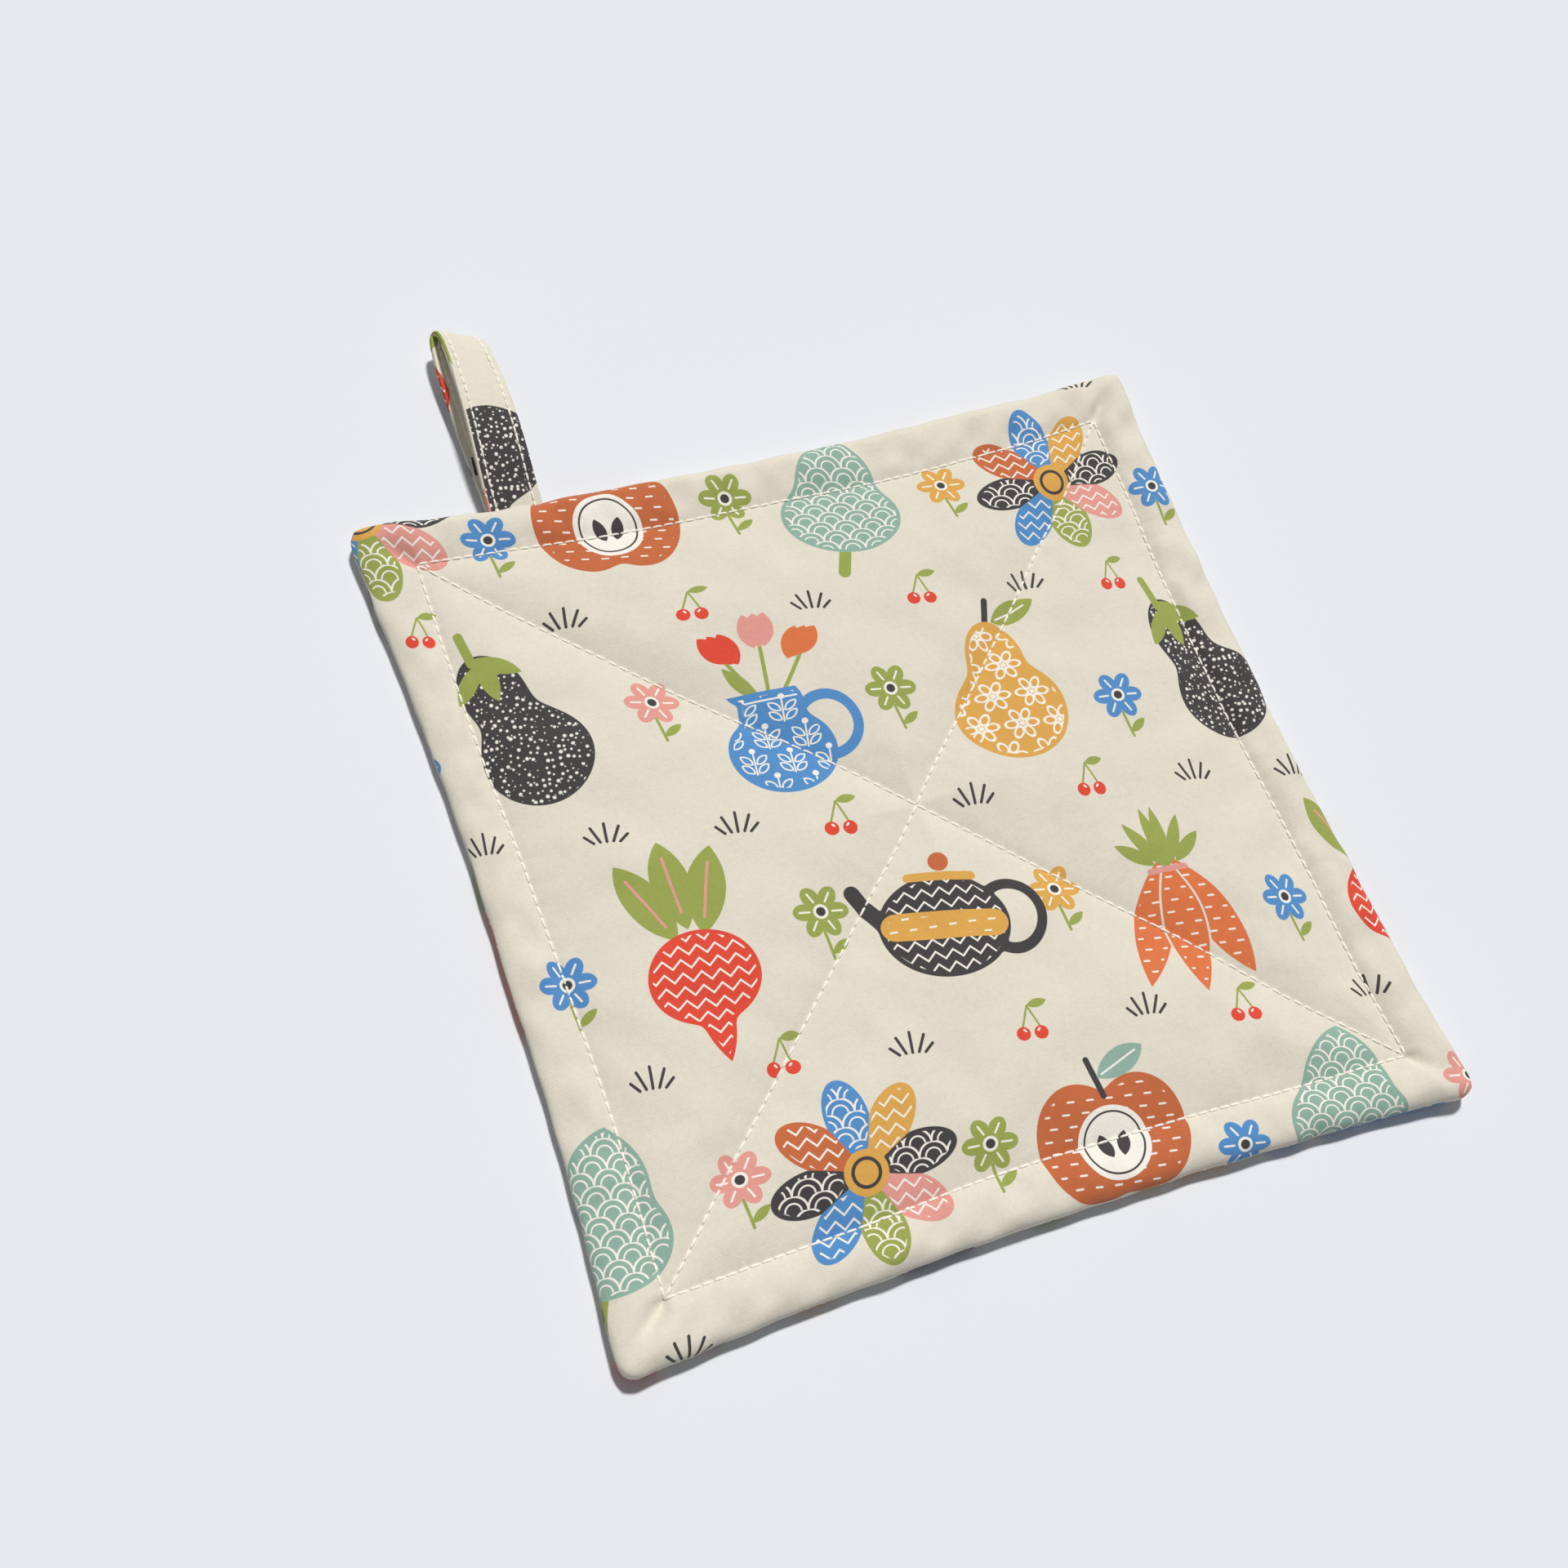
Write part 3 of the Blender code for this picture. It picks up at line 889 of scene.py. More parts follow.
# %% The mat in height
SEAM_HEIGHT = 3.2  # mm, the seam round the rolled edge
PUFF_HEIGHT = 6.9
CROWN_RISE = 1.2
BORDER_HEIGHT = 6.9
STITCH_TOP = 5.1
STITCH_UNDER = 0.9
CORNER_LIFT = 0.9
LIFT_REACH = 30.0
CHANNEL_REACH = 13.0
UNDER_REACH = 7.0
CROWN_REACH = 40.0
# No two sides are alike. In mm for the left, right, near and far side: how far in the panel
# rises, how far out the border does and how high it gets, and how wide its edge is rounded.
PANEL_REACHES = (12.0, 28.0, 16.0, 30.0)
BORDER_REACHES = (6.0, 5.5, 8.0, 9.5)
BORDER_HEIGHTS = (6.1, 6.9, 6.9, 7.0)
EDGE_ROLLS = (8.0, 4.0, 5.2, 3.8)

DRAWN_IN, DRAWN_IN_REACH = 0.11, 1.2  # a fine groove along the whole line
SCALLOP, SCALLOP_REACH = 0.07, 1.3  # deeper dips in it at the needle holes
PUCKER, PUCKER_REACH, PUCKER_LENGTH = 0.18, 5.5, 6.2
# How the puckers' pace, strength and slant wander: by how much, and over how many mm
PACE, STRENGTH, SLANT = (1.3, 31.0), (0.38, 23.0), (0.12, 40.0)
PUCKER_MEAN = 0.64  # of the size of a sine
PUCKERS_CLEAR = 7.0  # mm over which they fade out towards a corner of the square
ARM_FADES = 12.0, 9.0  # and, along a diagonal, towards the square and towards the crossing
CREASE, CREASE_WIDTH = 1.6, 2.0  # the dent that runs out from each corner of the square
FOLDS, FOLD_TURNS = 0.16, 9.0  # small folds that fan out beside the dent
FAN_START = 3.5  # how far before the corner they would meet
FAN_LENGTH = 60.0  # of the slow waves that set one corner's folds apart from the next
CREASE_END, CREASE_FADE = 12.0, 8.0  # where dent and folds end, and how far before they fade
UNEVEN, UNEVEN_LENGTH, UNEVEN_REACH = 0.2, 26.0, 8.0
# The seam's folded cloth, felt through the border
SEAM_LUMPS, LUMP_LENGTH, LUMP_REACH = 0.36, 11.0, 4.0
SIDE_BLEND = 24.0  # mm beside a diagonal over which one side's values pass into the next's


def by_side(a, b, left, right, near, far):
    """A value that each side has for itself, blended along the diagonals and the middle."""
    east, north = (0.5 + 0.5 * np.clip(place / STITCH_HALF, -1, 1) for place in (a, b))
    beside = smooth(0.5 + (np.abs(a) - np.abs(b)) / SIDE_BLEND)
    return beside * (left + (right - left) * east) + (1 - beside) * (near + (far - near) * north)


def puckers(along, across, seed):
    """Narrow valleys across a line: the size of a sine whose pace and depth wander."""
    pace, strength, slant = (
        size * waves(along, 0 * along, length, seed + i)
        for i, (size, length) in enumerate((PACE, STRENGTH, SLANT))
    )
    ridge = np.abs(np.sin(np.pi * (along + across * slant) / PUCKER_LENGTH + pace)) - PUCKER_MEAN
    strength = 1.0 - STRENGTH[0] + strength
    return PUCKER * strength * ridge * np.exp(-np.abs(across) / PUCKER_REACH)


def dips(along, pitch, distance):
    """1 at each needle hole of a line and 0 between two of them, fading off the line."""
    return (0.5 + 0.5 * np.cos(2 * np.pi * along / pitch)) * bell(distance, SCALLOP_REACH)


def needlework(a, b):
    """Height that the stitching adds to the upper face: scallops, puckers and creases."""
    size_a, size_b = np.abs(a), np.abs(b)
    outward, inner = np.maximum(size_a, size_b), np.where(size_a > size_b, b, a)
    from_square = outward - STITCH_HALF
    off_diagonal = (size_a - size_b) / np.sqrt(2.0)
    along_diagonal = np.sign(a) * (size_a + size_b) / np.sqrt(2.0)
    corner_fade = smooth((np.abs(off_diagonal) - 1.0) / PUCKERS_CLEAR)
    arm_fade = smooth(-from_square / ARM_FADES[0]) * smooth(outward / ARM_FADES[1])

    past_end = np.maximum(from_square, 0.0)
    to_square, to_diagonal = np.abs(from_square), np.hypot(off_diagonal, past_end)
    groove = bell(np.minimum(to_square, to_diagonal), DRAWN_IN_REACH)
    square_dips = dips(inner, SQUARE_PITCH, to_square)
    diagonal_dips = dips(along_diagonal, DIAGONAL_PITCH, to_diagonal)
    height = -DRAWN_IN * groove - SCALLOP * np.maximum(square_dips, diagonal_dips)

    side_seed = np.where(size_a > size_b, 20 + 3 * (a > 0), 30 + 3 * (b > 0))
    for seed in (20, 23, 30, 33):
        lines = puckers(inner, from_square, seed)
        height = height + corner_fade * np.where(side_seed == seed, lines, 0.0)
    for seed, arm in ((40, a * b > 0), (50, a * b <= 0)):
        lines = puckers(along_diagonal, off_diagonal, seed)
        height = height + arm_fade * np.where(arm, lines, 0.0)

    past_corner = (np.minimum(size_a, size_b) - STITCH_HALF) * np.sqrt(2.0)
    dent = bell(off_diagonal, CREASE_WIDTH) * smooth((past_corner + 2) / 3)
    fan = off_diagonal / (np.maximum(past_corner, 0.0) + FAN_START)
    folds = np.cos(FOLD_TURNS * fan + waves(a, b, FAN_LENGTH, 71)) * bell(fan, 1.0)
    folds = folds * smooth((np.abs(off_diagonal) - 0.5) / 2.0) * smooth(past_corner / 2)
    return height - (CREASE * dent + FOLDS * folds) * smooth((CREASE_END - past_corner) / CREASE_FADE)


def mat_heights(a, b, dressed=True):
    """Z of the upper and the lower face at (a, b), without the rolled edge."""
    outward = np.maximum(np.abs(a), np.abs(b))
    to_square = np.abs(STITCH_HALF - outward)
    to_diagonal = np.abs(np.abs(a) - np.abs(b)) / np.sqrt(2.0)
    in_panel = outward < STITCH_HALF
    nearest = np.minimum(to_square, to_diagonal)

    panel = rise(to_square, by_side(a, b, *PANEL_REACHES)) * rise(to_diagonal, CHANNEL_REACH)
    panel_top = STITCH_TOP + (PUFF_HEIGHT - STITCH_TOP) * panel
    panel_top = panel_top + CROWN_RISE * rise(nearest, CROWN_REACH)
    border = rise(to_square, by_side(a, b, *BORDER_REACHES))
    border_top = STITCH_TOP + (by_side(a, b, *BORDER_HEIGHTS) - STITCH_TOP) * border
    top = np.where(in_panel, panel_top, border_top)
    held = rise(to_square, UNDER_REACH) * np.where(in_panel, rise(to_diagonal, UNDER_REACH), 1.0)
    under = STITCH_UNDER * (1.0 - held)
    if dressed:
        lumps = SEAM_LUMPS * smooth((outward - STITCH_HALF) / LUMP_REACH)
        uneven = UNEVEN * rise(nearest, UNEVEN_REACH)
        top = top + needlework(a, b) + uneven * waves(a, b, UNEVEN_LENGTH, 14)
        top = top + lumps * waves(a, b, LUMP_LENGTH, 17)
    return top, under


def edge_roll(a, b):
    """How much of the height above the seam the upper face keeps: an oval's quarter."""
    inward = TIP_HALF - np.maximum(np.abs(a), np.abs(b))
    gone = 1.0 - np.clip(inward / by_side(a, b, *EDGE_ROLLS), 0.0, 1.0)
    return np.sqrt(1.0 - gone**2)


def corner_lift(a, b):
    """How far the stiff corners, where most layers of cloth meet, stand off the floor."""
    from_corner = np.hypot(TIP_HALF - np.abs(a), TIP_HALF - np.abs(b))
    return CORNER_LIFT * (1.0 - smooth(from_corner / LIFT_REACH))


print("upper face at the middle of a puff:", np.round(mat_heights(60.0, 0.0)[0], 2), "mm")

# %% [markdown]
# ## Letting the cloth settle
#
# The cloth between two seams is always a trace longer than the seams, and it gives way in
# shallow puckers. Where they fall is for the cloth to decide, so this is a simulation: a
# coarse sheet in the mat's own shape is pinned along every seam, grown by 0.6 % and
# pushed up by the wadding for twenty frames. It is simulated ten times as large as it is,
# where the solver's steps suit it. The wadding sets how high the panels stand, so the broad
# swelling is taken off again and only the puckers are kept. The fine mesh then takes its
# heights from the sheet's points round each place, weighed by a bell curve.
#
# The fine puckers close to the needle are narrower than this sheet's cells, and the channels
# have to stay where the thread is, so those are worked out directly, as above.

# %% The coarse sheet
SHEET_CELLS, SHEET_BORDER_CELLS = 44, 6  # from the middle to the stitches, and on to the seam
SHEET_SCALE = 0.01  # metres in the simulation for each millimetre of the mat
SHEET_FRAMES = 20
GROWTH, WADDING_PRESSURE, STIFFNESS = 0.006, 0.15, 3.0
FINEST, BROADEST = 2.4, 15.0  # mm, the unevenness that is kept lies between these sizes
SETTLED_SHARE, SETTLED_MOST = 0.55, 0.5  # mm at most
FIRST_WAVES, FIRST_LENGTH = 0.05, 9.0  # mm, a trace of unevenness for the cloth to start from
SEAM_EASE = 12.0  # mm from a seam within which the broad swelling is taken off by degrees


def both_ways(half, odd=True):
    """Carries an array of half lines over to the other side of the middle."""
    return np.concatenate([-half[:0:-1] if odd else half[:0:-1], half])


def quads(count):
    """Faces of a square grid, anticlockwise seen from above, as numbers of its points."""
    n = np.arange(count * count).reshape(count, count)
    return np.stack([n[:-1, :-1], n[1:, :-1], n[1:, 1:], n[:-1, 1:]], -1).reshape(-1, 4)


inner_lines = np.linspace(0, STITCH_HALF, SHEET_CELLS + 1)
outer_lines = np.linspace(STITCH_HALF, TIP_HALF, SHEET_BORDER_CELLS + 1)
SHEET_LINES = both_ways(np.concatenate([inner_lines, outer_lines[1:]]))


def weights(places, size):
    """Weights of the sheet's lines round each place: a bell curve of that size, adding to 1."""
    weight = bell(places.reshape(-1, 1) - SHEET_LINES, size)
    return weight / weight.sum(axis=1, keepdims=True)


# %% The simulation
def pinned_sheet(points, sewn):
    """The sheet as an object with a Cloth modifier, held where it is sewn."""
    mesh = bpy.data.meshes.new("loose_cloth")
    mesh.from_pydata((points * SHEET_SCALE).tolist(), [], quads(len(SHEET_LINES)).tolist())
    sheet = bpy.data.objects.new("loose_cloth", mesh)
    bpy.context.scene.collection.objects.link(sheet)
    sheet.vertex_groups.new(name="sewn").add(np.flatnonzero(sewn).tolist(), 1.0, "REPLACE")
    cloth = sheet.modifiers.new("settling", "CLOTH")
    cloth.settings.vertex_group_mass = "sewn"
    cloth.settings.quality = 6
    cloth.settings.bending_stiffness = STIFFNESS
    cloth.settings.air_damping = 2.0
    cloth.settings.shrink_min = -GROWTH
    cloth.settings.use_pressure = True
    cloth.settings.uniform_pressure_force = WADDING_PRESSURE
    cloth.settings.effector_weights.gravity = 0.0
    cloth.point_cache.frame_start = 1
    cloth.point_cache.frame_end = SHEET_FRAMES
    return sheet


def settle():
    """How far each point of the sheet rises, without the broad swelling, in millimetres."""
    a, b = np.meshgrid(SHEET_LINES, SHEET_LINES, indexing="ij")
    outward = np.maximum(np.abs(a), np.abs(b))
    to_square, to_rim = np.abs(outward - STITCH_HALF), TIP_HALF - outward
    to_diagonal = np.where(outward > STITCH_HALF, np.inf, np.abs(np.abs(a) - np.abs(b)))
    to_seam = np.minimum(np.minimum(to_square, to_diagonal), to_rim)
    sewn = to_seam < 0.1
    top = mat_heights(a, b, dressed=False)[0]
    top = SEAM_HEIGHT + (top - SEAM_HEIGHT) * edge_roll(a, b)
    start = top + np.where(sewn, 0.0, FIRST_WAVES * waves(a, b, FIRST_LENGTH, 81))
    points = np.stack([*mat_plan(a, b), start], -1).reshape(-1, 3)
    sheet = pinned_sheet(points, sewn.ravel())
    for frame_number in range(1, SHEET_FRAMES + 1):
        bpy.context.scene.frame_set(frame_number)
    settled = sheet.evaluated_get(bpy.context.evaluated_depsgraph_get()).to_mesh()
    places = np.empty(points.size, np.float32)
    settled.vertices.foreach_get("co", places)
    bpy.data.objects.remove(sheet)
    bpy.context.scene.frame_set(1)
    risen = places.reshape(*a.shape, 3)[..., 2] / SHEET_SCALE - top
    broad = weights(SHEET_LINES, BROADEST)
    risen = risen - rise(to_seam, SEAM_EASE) * (broad @ risen @ broad.T)
    return np.clip(SETTLED_SHARE * risen, -SETTLED_MOST, SETTLED_MOST)


PUCKERED = settle()
print(f"cloth settled by {PUCKERED.min():.2f} to {PUCKERED.max():.2f} mm")


def settled_heights(a, b):
    """Z of the upper and the lower face, with the settled puckers on the upper one."""
    top, under = mat_heights(a, b)
    puckered = np.sum((weights(a, FINEST) @ PUCKERED) * weights(b, FINEST), axis=1)
    return top + puckered.reshape(a.shape), under


# %% [markdown]
# ## The padded mat
#
# The upper and the lower cloth are two grids over the same cut square. At the edge each rolls
# over in a quarter of an oval and then tucks into the seam in a small quarter circle, which
# leaves the fine groove that a turned-out seam has. The grid lines are given by their place
# along the cloth, so the print bends round the edge without being stretched. Four cells to a
# stitch are enough for the scallops. Underneath, where nobody looks closely, the lower grid
# leaves most lines out between the seams, and a strip of triangles that fans out from its rim
# to the upper one closes the shell.

# %% The padded mat
EDGE_ROLL = 3.6  # mm, width of the lower face's rounded edge in plan
LIP = 0.5  # radius with which each cloth turns into the seam
PANEL_CELLS, BORDER_CELLS, ROLL_CELLS, LIP_CELLS = 132, 9, 6, 3
LOWER_PANEL_STEP, LOWER_BORDER_STEP = 4, 3  # lines kept on the lower face
RIM_WANDER, RIM_LENGTHS, RIM_REACH = 0.12, (17.0, 15.0), 4.0
TOWARDS_STITCHES = 1.35  # power that crowds the border's lines beside the stitches


def half_lines():
    """The grid lines from the middle to the seam, as three arrays in millimetres.

    Gives the place along the cloth, the place in plan, and how much of the height off
    the seam is left there: 1 on the flat, falling as the cosine of the roll's angle. Past
    the roll the third array counts on below 0 by the angle round the lip.
    """
    roll_angle = np.linspace(0, np.pi / 2, ROLL_CELLS + 1)[1:]
    lip_angle = np.linspace(0, np.pi / 2, LIP_CELLS + 1)[1:]
    flat = TIP_HALF - EDGE_ROLL
    border_share = np.linspace(0, 1, BORDER_CELLS + 1)[1:] ** TOWARDS_STITCHES
    plan = np.concatenate([
        np.linspace(0, STITCH_HALF, PANEL_CELLS + 1),
        STITCH_HALF + (flat - STITCH_HALF) * border_share,
        flat + EDGE_ROLL * np.sin(roll_angle),
        TIP_HALF - LIP * (1 - np.cos(lip_angle)),
    ])
    height = np.concatenate([
        np.ones(PANEL_CELLS + BORDER_CELLS + 1), np.cos(roll_angle), -lip_angle
    ])
    drop = np.concatenate([
        np.full(PANEL_CELLS + BORDER_CELLS + 1, BORDER_HEIGHT),
        SEAM_HEIGHT + LIP + (BORDER_HEIGHT - SEAM_HEIGHT - LIP) * np.cos(roll_angle),
        SEAM_HEIGHT + LIP * (1 - np.sin(lip_angle)),
    ])
    return lengths_along(np.stack([plan, drop], -1)), plan, height


def mat_grid(keep):
    """Points of the upper and the lower face on the kept grid lines, and the cloth places."""
    cloth, plan, height = half_lines()
    lines = both_ways(plan)[keep]
    a, b = np.meshgrid(lines, lines, indexing="ij")
    share = both_ways(height, odd=False)[keep]
    share = np.minimum(share[:, None], share[None, :])
    roll, lip = np.clip(share, 0, 1), np.clip(-share, 0, None)
    x, y = mat_plan(a, b)
    outward = np.maximum(np.abs(a), np.abs(b))
    rim = RIM_WANDER * smooth((outward - TIP_HALF + RIM_REACH) / RIM_REACH)
    x = x + rim * waves(a, b, RIM_LENGTHS[0], 15)
    y = y + rim * waves(a, b, RIM_LENGTHS[1], 16)
    top, under = settled_heights(a, b)
    tuck = LIP * (1 - np.sin(lip))
    # The upper face rolls off more widely on some sides than on others, the lower one alike
    high, low = SEAM_HEIGHT + LIP, SEAM_HEIGHT - LIP
    top = np.where(lip > 0, SEAM_HEIGHT + tuck, high + (top - high) * edge_roll(a, b))
    under = np.where(lip > 0, SEAM_HEIGHT - tuck, low + (under - low) * roll)
    lift = corner_lift(a, b)
    on_cloth = both_ways(cloth)[keep]
    places = np.stack(np.meshgrid(on_cloth, on_cloth, indexing="ij"), axis=-1)
    return np.stack([x, y, top + lift], -1), np.stack([x, y, under + lift], -1), places


def kept_lines():
    """Numbers of the lower face's grid lines: few across the flat, all of them at the edge."""
    edge = PANEL_CELLS + BORDER_CELLS
    half = np.concatenate([
        np.arange(0, PANEL_CELLS, LOWER_PANEL_STEP),
        np.arange(PANEL_CELLS, edge, LOWER_BORDER_STEP),
        np.arange(edge, edge + ROLL_CELLS + LIP_CELLS + 1),
    ])
    return both_ways(half) + half[-1]


def rim_loop(count):
    """Numbers of a square grid's outer points, in order round it."""
    n = np.arange(count * count).reshape(count, count)
    return np.concatenate([n[:-1, 0], n[-1, :-1], n[:0:-1, -1], n[0, :0:-1]])


def fanned_strip(keep, count):
    """Triangles from the upper rim to the lower rim, as numbers in each rim's own order.

    Every upper edge goes to the nearer of the two lower points beside it, and every lower
    edge to the upper point half way along it. Gives the upper and the lower triangles.
    """
    around_rim = np.concatenate([side * (count - 1) + keep[:-1] for side in range(4)])
    after = np.append(around_rim[1:], 4 * (count - 1))
    edge = np.arange(4 * (count - 1))
    owner = np.searchsorted(around_rim, edge, side="right") - 1
    owner = owner + (2 * edge >= around_rim[owner] + after[owner])
    half_way = (around_rim + after + 1) // 2
    return edge, owner % len(around_rim), half_way % len(edge)


# %% The closed shell
every_line = np.arange(2 * len(half_lines()[0]) - 1)
upper, _, upper_cloth = mat_grid(every_line)
_, lower, lower_cloth = mat_grid(kept_lines())
upper_count, lower_count = len(upper), len(lower)
lower_start = upper_count**2
fine, coarse = rim_loop(upper_count), rim_loop(lower_count) + lower_start
edge, owner, half_way = fanned_strip(kept_lines(), upper_count)
seam_strip = np.concatenate([
    np.stack([coarse[owner], np.roll(fine, -1), fine], -1),
    np.stack([coarse, np.roll(coarse, -1), fine[half_way]], -1),
])
upper_faces = quads(upper_count)
lower_faces = quads(lower_count)[:, ::-1] + lower_start
mat_points = np.concatenate([upper.reshape(-1, 3), lower.reshape(-1, 3)])
mat_places = np.concatenate([upper_cloth.reshape(-1, 2), lower_cloth.reshape(-1, 2) * (-1, 1)])
mat_faces = [upper_faces, lower_faces, seam_strip]
mat_uv = np.concatenate([mat_places[group.ravel()] for group in mat_faces])
face_side = np.repeat([0, 1, 0], [len(group) for group in mat_faces])
padded_mat = add_piece(
    "padded_mat", mat_points, mat_faces, [face_cotton, back_cotton], mat_uv, face_side
)
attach(padded_mat, "root")
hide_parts("quilted_pad")

# %% [markdown]
# ## Stitches
#
# Each stitch is a short length of cream thread that comes out of one needle hole and goes
# into the next. It is a tube carried along a small arch: a row of rings, each a circle round
# the path. All stitches of a line are worked out as one array, with an axis for the
# stitches, one for the stations along each, and one for the points round it.

# %% Stitches as arrays of small tubes
THREAD_RADIUS = 0.33  # mm
PLY_PITCH = 0.8  # mm between two ridges of the twist
ARCH_HALF = 0.43  # half of a stitch's length, in pitches
ARCH_TOP, ARCH_DROP = 0.18, 0.38  # mm above the cloth at its middle, and down to its ends
TAPER, TAPER_FADE = 0.6, 8  # what its section loses at the ends, and how late it does
STITCH_STATIONS, THREAD_SIDES = 9, 6


def thread_material():
    """Two-ply cotton thread: matt, cream, with the slanting ridges of its twist, and painted shade
    that darkens its grooves a little.
    """
    material, tree = blank_material("cotton_sewing_thread")
    place = node("UVMap", tree=tree, uv_map="cloth_mm")
    girth, along, _ = node("SeparateXYZ", place).node.outputs
    turned = node("Math MULTIPLY", girth, 2 * math.pi)
    slant = node("Math MULTIPLY_ADD", along, 2 * math.pi / PLY_PITCH, turned)
    twist = node("Math SINE", slant)
    # Painted shade: the colour is a little darker in the grooves of the twist and lighter on its
    # ridges
    shade = node("MapRange", twist, -1.0, 0.0, 0.0, 1.0)
    colour = node("Mix", shade, linear("#f6eee0"), linear("#fefaf1"), data_type="RGBA")
    bump = node("Bump", Strength=1.0, Distance=0.012 * MM, Height=twist)
    shader = node(
        "BsdfPrincipled",
        Base_Color=colour,
        Roughness=0.6,
        IOR=COTTON_IOR,
        Sheen_Weight=0.1,
        Normal=bump,
    )
    node("OutputMaterial", shader)
    return material


def arch(pitch):
    """Along and above the cloth, at stations from one needle hole to the next."""
    share = np.linspace(-1, 1, STITCH_STATIONS)
    return ARCH_HALF * pitch * share, ARCH_TOP - ARCH_DROP * share**4


def add_tubes(name, rings, along, girth, material):
    """Closed tubes as one piece, from the rings of points round each of them.

    rings is (tube, station, side, 3), along is (tube, station), and girth has one value for
    each side and one to close the ring. The UV is (girth, along).
    """
    number = np.arange(rings[..., 0].size).reshape(rings.shape[:3])
    after = np.roll(number, -1, axis=2)
    walls = np.stack([number[:, :-1], after[:, :-1], after[:, 1:], number[:, 1:]], -1)
    caps = np.concatenate([number[:, 0, ::-1], number[:, -1]])
    u = np.stack([girth[:-1], girth[1:], girth[1:], girth[:-1]], -1)
    v = np.stack([along[:, :-1], along[:, :-1], along[:, 1:], along[:, 1:]], -1)
    uv = np.stack(np.broadcast_arrays(u, v[:, :, None]), -1).reshape(-1, 2)
    uv = np.concatenate([uv, np.zeros((caps.size, 2))])
    return add_piece(name, rings.reshape(-1, 3), [walls.reshape(-1, 4), caps], [material], uv)


def add_thread(name, paths, out_of_cloth, radius=THREAD_RADIUS):
    """Thread along each path of (stitch, station, 3), drawn in a little at both its ends.

    A point of a ring is the path's point plus the cosine of an angle times a sideways
    direction plus its sine times the direction out of the cloth.
    """
    along = np.gradient(paths, axis=1)
    along = along / np.linalg.norm(along, axis=2, keepdims=True)
    sideways = np.cross(out_of_cloth, along)
    sideways = sideways / np.linalg.norm(sideways, axis=2, keepdims=True)
    out = np.cross(along, sideways)
    angle = 2 * np.pi * np.arange(THREAD_SIDES)[:, None] / THREAD_SIDES
    rings = np.cos(angle) * sideways[:, :, None] + np.sin(angle) * out[:, :, None]
    share = np.linspace(-1, 1, STITCH_STATIONS)
    taper = radius * np.sqrt(1 - TAPER * share**TAPER_FADE)
    rings = paths[:, :, None] + taper[:, None, None] * rings
    girth = np.linspace(0, 1, THREAD_SIDES + 1)
    stitching = add_tubes(name, rings, lengths_along(paths), girth, thread)
    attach(stitching, "root")
    return stitching


def mat_stitches(under):
    """Paths of every stitch on one face of the mat."""
    paths = []
    corners = STITCH_HALF * np.array([(-1, -1), (1, -1), (1, 1), (-1, 1)])
    square = [(i, (i + 1) % 4, SQUARE_STITCHES) for i in range(4)]
    for start, end, number in (*square, (0, 2, DIAGONAL_STITCHES), (3, 1, DIAGONAL_STITCHES)):
        start, end = corners[start], corners[end]
        pitch = np.hypot(*(end - start)) / number
        run, above = arch(pitch)
        middles = (np.arange(number) + 0.5) * pitch
        share = (middles[:, None] + run[None, :]) / (number * pitch)
        a = start[0] + (end[0] - start[0]) * share
        b = start[1] + (end[1] - start[1]) * share
        x, y = mat_plan(a, b)
        top, lower_face = settled_heights(a, b)
        lift = corner_lift(a, b)
        z = lower_face + lift - above if under else top + lift + above
        paths.append(np.stack([x, y, z], -1))
    return np.concatenate(paths)


thread = thread_material()
for name, under in (("face_stitching", False), ("back_stitching", True)):
    paths = mat_stitches(under)
    add_thread(name, paths, np.array([0.0, 0.0, -1.0 if under else 1.0]))

# %% [markdown]
# ## The hanging strap
#
# The strap is a strip of the same cotton, folded to four layers, top-stitched 2 mm inside
# both edges and bent in two. Its ends go into the seam of the mat. Its middle line parts
# in one long arch and closes in a round fold, and the whole loop leans over, so that one
# edge of it rests on the floor. A flat section is carried along that line: two faces with a
# groove under each line of stitches, one edge rounded where the strip is folded, and
# the other with the slit where its two folded halves meet.

# %% The strap's path
STRAP_WIDTH = 14.5  # mm
STRAP_THICKNESS = 1.4
LOOP_CENTRE_X = -67.7
LOOP_BOW, LOOP_BOW_POWER = 3.4, 0.85
FOLD_BOW, FOLD_BOW_FADE = 2.6, 4
ROOT_HALF_GAP = 0.85
ROOT_CLEARANCE = 0.6
ROOT_TUCK, TUCK_SHARE = 4.0, 0.12  # how far the ends go into the seam, and from which share on
LOOP_ROLL, LOOP_ROLL_POWER = 28.0, 1.2
FLOOR_CLEARANCE = 0.2
SAG_REACH = 0.4
STRAP_STATIONS = 321


def mat_edge(x):
    """Y of the seam along the loop's side of the mat, before the piece is centred."""
    return TIP_HALF - SIDE_DRAW_IN * (1.0 - (x / TIP_HALF) ** 2)


